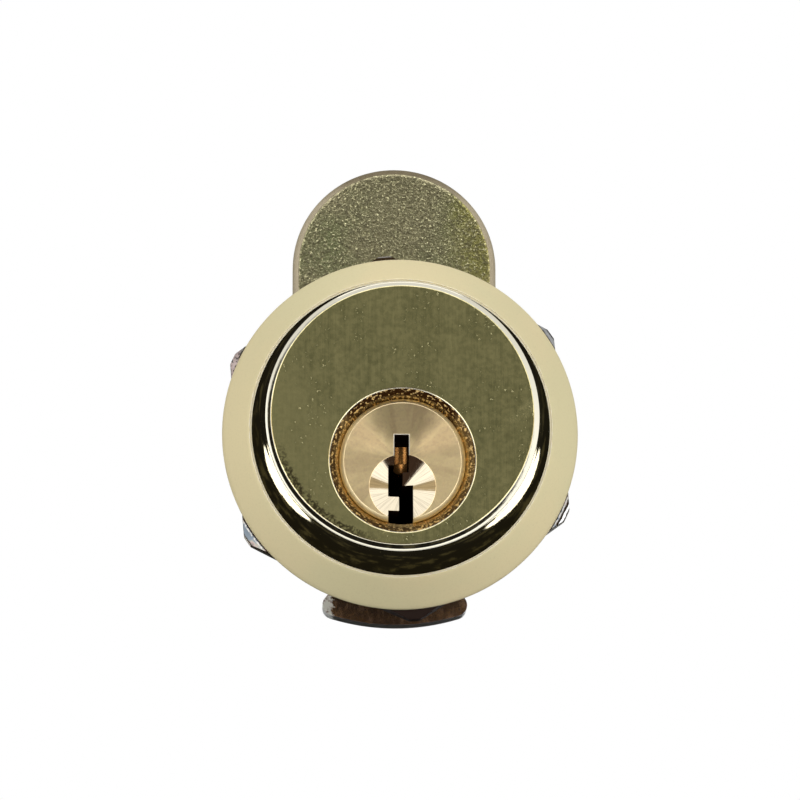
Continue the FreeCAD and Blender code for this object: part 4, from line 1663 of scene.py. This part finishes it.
    def split_washer(self) -> Workpiece:
        """Models the split spring washer."""
        washer = self.washer("split_washer", self.split_r, self.washer_back, self.split_back)
        slit = Workpiece.block("slit", (0, self.washer_back - SLACK, -self.slit / 2),
                               (self.split_r + SLACK, self.split_back + SLACK, self.slit / 2))
        return washer.combine("DIFFERENCE", slit.shift((0, 0, -PLUG_DROP)))

    def screw(self) -> Workpiece:
        """Models the hex screw with its chamfered head."""
        corner_r = self.screw_across / 2 / math.cos(HEX_HALF)
        inwards, along = self.screw_chamfer
        blank = Workpiece.turned("screw_blank", [
            (corner_r, self.split_back), (corner_r, self.screw_back - along),
            (corner_r - inwards, self.screw_back)], PLUG_DROP, 96)
        head = Workpiece.drum("hex_screw", corner_r + self.hex_over, self.split_back,
                              self.screw_back + SLACK, 0, -PLUG_DROP, 6)
        head.combine("INTERSECT", blank)
        shank = Workpiece.turned("shank", [
            (self.screw_r - self.screw_lead, self.screw_tip),
            (self.screw_r, self.screw_tip + self.screw_lead),
            (self.screw_r, self.split_back + self.screw_lead)], PLUG_DROP, 64)
        return head.combine("UNION", shank).soften(self.screw_edge)

    def peg_places(self) -> tuple[Step, ...]:
        """Works out where the two stop pins stand, as the stop plate's width asks.

        Returns:
            (x, z) of the right and of the left pin.
        """
        drop = self.stop_reach - self.stop_end_r + math.sqrt(self.stop_end_r**2 - self.stop_half_width**2)
        half_angle = math.degrees(math.atan2(self.stop_half_width, drop))
        sweep = math.degrees(math.asin((self.peg_r + self.peg_gap) / self.peg_circle_r))
        angles = (-90 + half_angle + sweep, -90 - half_angle - self.turn - sweep)
        return tuple((self.peg_circle_r * math.cos(math.radians(angle)),
                      self.peg_circle_r * math.sin(math.radians(angle)) - PLUG_DROP) for angle in angles)

    def pegs(self) -> Workpiece:
        """Models the two pins that the stop plate meets."""
        steps = [(self.peg_r, self.peg_front), (self.peg_r, self.peg_back - self.peg_chamfer),
                 (self.peg_r - self.peg_chamfer, self.peg_back)]
        first = Workpiece.turned("stop_pegs", steps, sides=48)
        (x, z), (other_x, other_z) = self.peg_places()
        first.shift((x, 0, z))
        return first.take_in(first.copy("stop_peg", (other_x - x, 0, other_z - z)))

    def build(self, finishes: Materials) -> None:
        """Models and finishes the pieces behind the barrel."""
        self.hook_plate().hand_over(finishes["hook"], "rotor", ["hook_bolt"], "hook_steel")
        self.fan_plate().hand_over(finishes["fan"], "rotor", ["stop_plate"], "dark_steel")
        self.washer("flat_washer", self.washer_r, self.hook_back, self.washer_back).hand_over(
            finishes["steel"], "rotor", ["tail_washer"], "bright_steel")
        self.split_washer().hand_over(finishes["spring"], "rotor", ["lock_washer"], "bright_steel")
        self.screw().hand_over(finishes["steel"], "rotor", ["tail_screw"], "bright_steel")
        self.pegs().hand_over(finishes["steel"], "cylinder", ["stop_pins"], "bright_steel")


# Studio


@dataclass(frozen=True)
class LightTent:
    """A white tent round the lock, dark towards the camera's opening and behind the lock.

    Attributes:
        white: Brightness of the tent's lower walls.
        dim: How much darker its roof is.
        pole: How much darker the poles round the opening are.
        glare: How much brighter the walls are near the opening.
        lamp: Brightness of the two lamps behind the lock.
        opening: Colour of the dark opening that the camera looks through.
        leg: Colour of the stand below it.
        seam: Colour of the tent's seams on both sides.
        behind: Colour of the dark space behind the lock.
        murk: Colour of its lighter patches.
        floor_z: Height of the floor in millimetres, below any camera that looks up at the lock.
        floor_side: Length of its sides.
        pin_box: Side of the small lamps that light the seen pin.
    """

    white: float = 1.12
    dim: float = 0.42
    pole: float = 0.5
    glare: float = 1.5
    lamp: float = 2.4
    opening: Colour = (0.19, 0.2, 0.165)
    leg: Colour = (0.09, 0.055, 0.04)
    seam: Colour = (1.0, 0.82, 0.54)
    behind: Colour = (0.011, 0.01, 0.008)
    murk: Colour = (0.05, 0.045, 0.028)
    floor_z: float = -500.0
    floor_side: float = 36000.0
    pin_box: float = 45.0

    def front_walls(self, bench: ShaderBench, x: Signal, z: Signal, front: Signal) -> Signal:
        """The tent's walls with their seams, the camera's opening and the stand below it.

        Args:
            bench: The world's bench.
            x: Direction to the right.
            z: Direction upwards.
            front: Direction to the front.

        Returns:
            The colour.
        """
        strip = front.ramp(0.14, 0.22) * front.fall(0.36, 0.46)
        bright = front.ramp(0.42, 0.62) * self.glare - z.ramp(-0.3, 0.9) * self.dim
        bright = bright - strip * self.pole + self.white
        high = ((z + x.ramp(-0.1, 0.1) * 0.05 - 0.135) * (1 / 0.15)).size().fall(0.7, 0.9)
        colour = bench.blend(high * front.ramp(0.45, 0.55), bench.join(bright, bright, bright), self.seam)
        hole = (x * x * 0.9 + (z - 0.14) * (z - 0.14)) ** 0.5
        colour = bench.blend(hole.fall(0.4, 0.48) * front.ramp(0.0, 0.3), colour, self.opening)
        width = z.ramp(-0.62, -0.36) * 0.17 + 0.25
        leg = (x.size() - width).fall(0.0, 0.03) * z.ramp(-0.84, -0.8) * z.fall(-0.3, -0.2)
        return bench.blend(leg * front.ramp(0.1, 0.3), colour, self.leg)

    def walls(self) -> None:
        """Builds the world: what the metal mirrors in each direction, and plain white behind it all."""
        world = bpy.data.worlds.new("light_tent")
        bpy.context.scene.world = world
        world.use_nodes = True
        bench = ShaderBench(world.node_tree)
        direction = bench.node("ShaderNodeTexCoord", output="Generated")
        x, y, z = bench.axes(direction)
        side = bench.polar(x, z)[0]
        colour = self.front_walls(bench, x, z, y * -1.0)
        limit = x / side * 0.09 + z / side * 0.275 + 0.34
        murk = bench.noise(direction, 7.0, 3.0, 0.6)
        dark = bench.blend(murk.ramp(0.5, 0.66), self.behind, self.murk)
        colour = bench.blend((y - limit + (murk - 0.5) * 0.05).ramp(-0.04, 0.04), colour, dark)
        for place, least in (((-0.395, 0.912, -0.055), 0.981), ((0.41, 0.905, -0.06), 0.98)):
            nearness = bench.node("ShaderNodeVectorMath", {"operation": "DOT_PRODUCT"},
                                  {0: direction, 1: place}, "Value")
            colour = bench.blend(nearness.ramp(least, least + 0.004), colour, (self.lamp,) * 3)
        seen = bench.node("ShaderNodeLightPath", output="Is Camera Ray")
        colour = bench.blend(seen, colour, (1.0, 1.0, 1.0))
        shader = bench.node("ShaderNodeBackground", None, {"Color": colour, "Strength": 1.0})
        bench.node("ShaderNodeOutputWorld", None, {"Surface": shader})

    def softbox(self, name: str, place: Point, size: float, power: float) -> bpy.types.Object:
        """Hangs a square soft light that points at the lock.

        Args:
            name: The light's name.
            place: Where it hangs, in millimetres.
            size: Its side, in millimetres.
            power: Its power in watts.

        Returns:
            The lamp.
        """
        light = bpy.data.lights.new(name, "AREA")
        light.shape = "SQUARE"
        light.size = size * MM
        light.energy = power
        lamp = bpy.data.objects.new(name, light)
        lamp.location = Vector(place) * MM
        lamp.rotation_euler = (-Vector(place)).to_track_quat("-Z", "Y").to_euler()
        bpy.context.scene.collection.objects.link(lamp)
        return lamp

    def light_pin(self, pin: bpy.types.Object) -> None:
        """Lights the pin that is seen in the keyway from both sides and from below, and nothing else."""
        lit = bpy.data.collections.new("seen_pin")
        lit.objects.link(pin)
        for name, place in (
                ("pin_light_left", (-150.0, -230.0, 40.0)), ("pin_light_right", (150.0, -230.0, 40.0)),
                ("pin_light_below", (20.0, -60.0, -270.0))):
            lamp = self.softbox(name, place, self.pin_box, 0.05)
            lamp.data.use_shadow = False
            lamp.light_linking.receiver_collection = lit

    def floor(self) -> None:
        """Lays the plain pale floor, which the metal doesn't mirror."""
        drop_selection()
        bpy.ops.mesh.primitive_plane_add(size=self.floor_side * MM, location=(0, 0, self.floor_z * MM))
        floor = bpy.context.active_object
        floor.name = "studio_floor"
        floor.visible_glossy = False
        floor.visible_diffuse = False
        floor.data.materials.append(FloorFinish("pale_floor").material())

    def build(self) -> None:
        """Sets up the whole studio."""
        self.walls()
        self.floor()
        self.softbox("top_box", (0, -60, 420), 360, 0.16)
        self.softbox("left_box", (-420, -120, 60), 260, 0.05)


@dataclass(frozen=True)
class Viewpoint:
    """The camera's place as the photograph shows it.

    Attributes:
        aim: The point that it looks at, in millimetres.
        side_angle: How far it stands to the left, in degrees.
        low_angle: How far it stands below, in degrees.
        distance: Its distance, in millimetres.
        lens: Focal length in millimetres.
        sensor: Width of the picture's frame in the camera, in millimetres.
        nearest: Where its view begins, in millimetres.
        farthest: Where its view ends.
    """

    aim: Point = (0.0, 0.0, 3.7)
    side_angle: float = 1.4
    low_angle: float = 10.8
    distance: float = 650.0
    lens: float = 273.56
    sensor: float = 36.0
    nearest: float = 10.0
    farthest: float = 20000.0

    def build(self) -> None:
        """Sets up the camera."""
        side, low = math.radians(self.side_angle), math.radians(self.low_angle)
        look = Vector((math.sin(side) * math.cos(low), math.cos(side) * math.cos(low), math.sin(low)))
        camera = bpy.data.objects.new("camera", bpy.data.cameras.new("camera"))
        camera.data.lens = self.lens
        camera.data.sensor_width = self.sensor
        camera.data.clip_start = self.nearest * MM
        camera.data.clip_end = self.farthest * MM
        camera.location = (Vector(self.aim) - look * self.distance) * MM
        camera.rotation_euler = look.to_track_quat("-Z", "Y").to_euler()
        bpy.context.scene.collection.objects.link(camera)
        bpy.context.scene.camera = camera


def main() -> None:
    bpy.context.scene.view_settings.view_transform = "Standard"
    Viewpoint().build()
    tent = LightTent()
    tent.build()
    finishes = make_finishes()
    plates = TailPlates()
    BrassBody(plates).build(finishes)
    ClampNut().build(finishes)
    TurningPlug().build(finishes)
    tent.light_pin(PinStacks().build(finishes))
    plates.build(finishes)


if __name__ == "__main__":
    main()
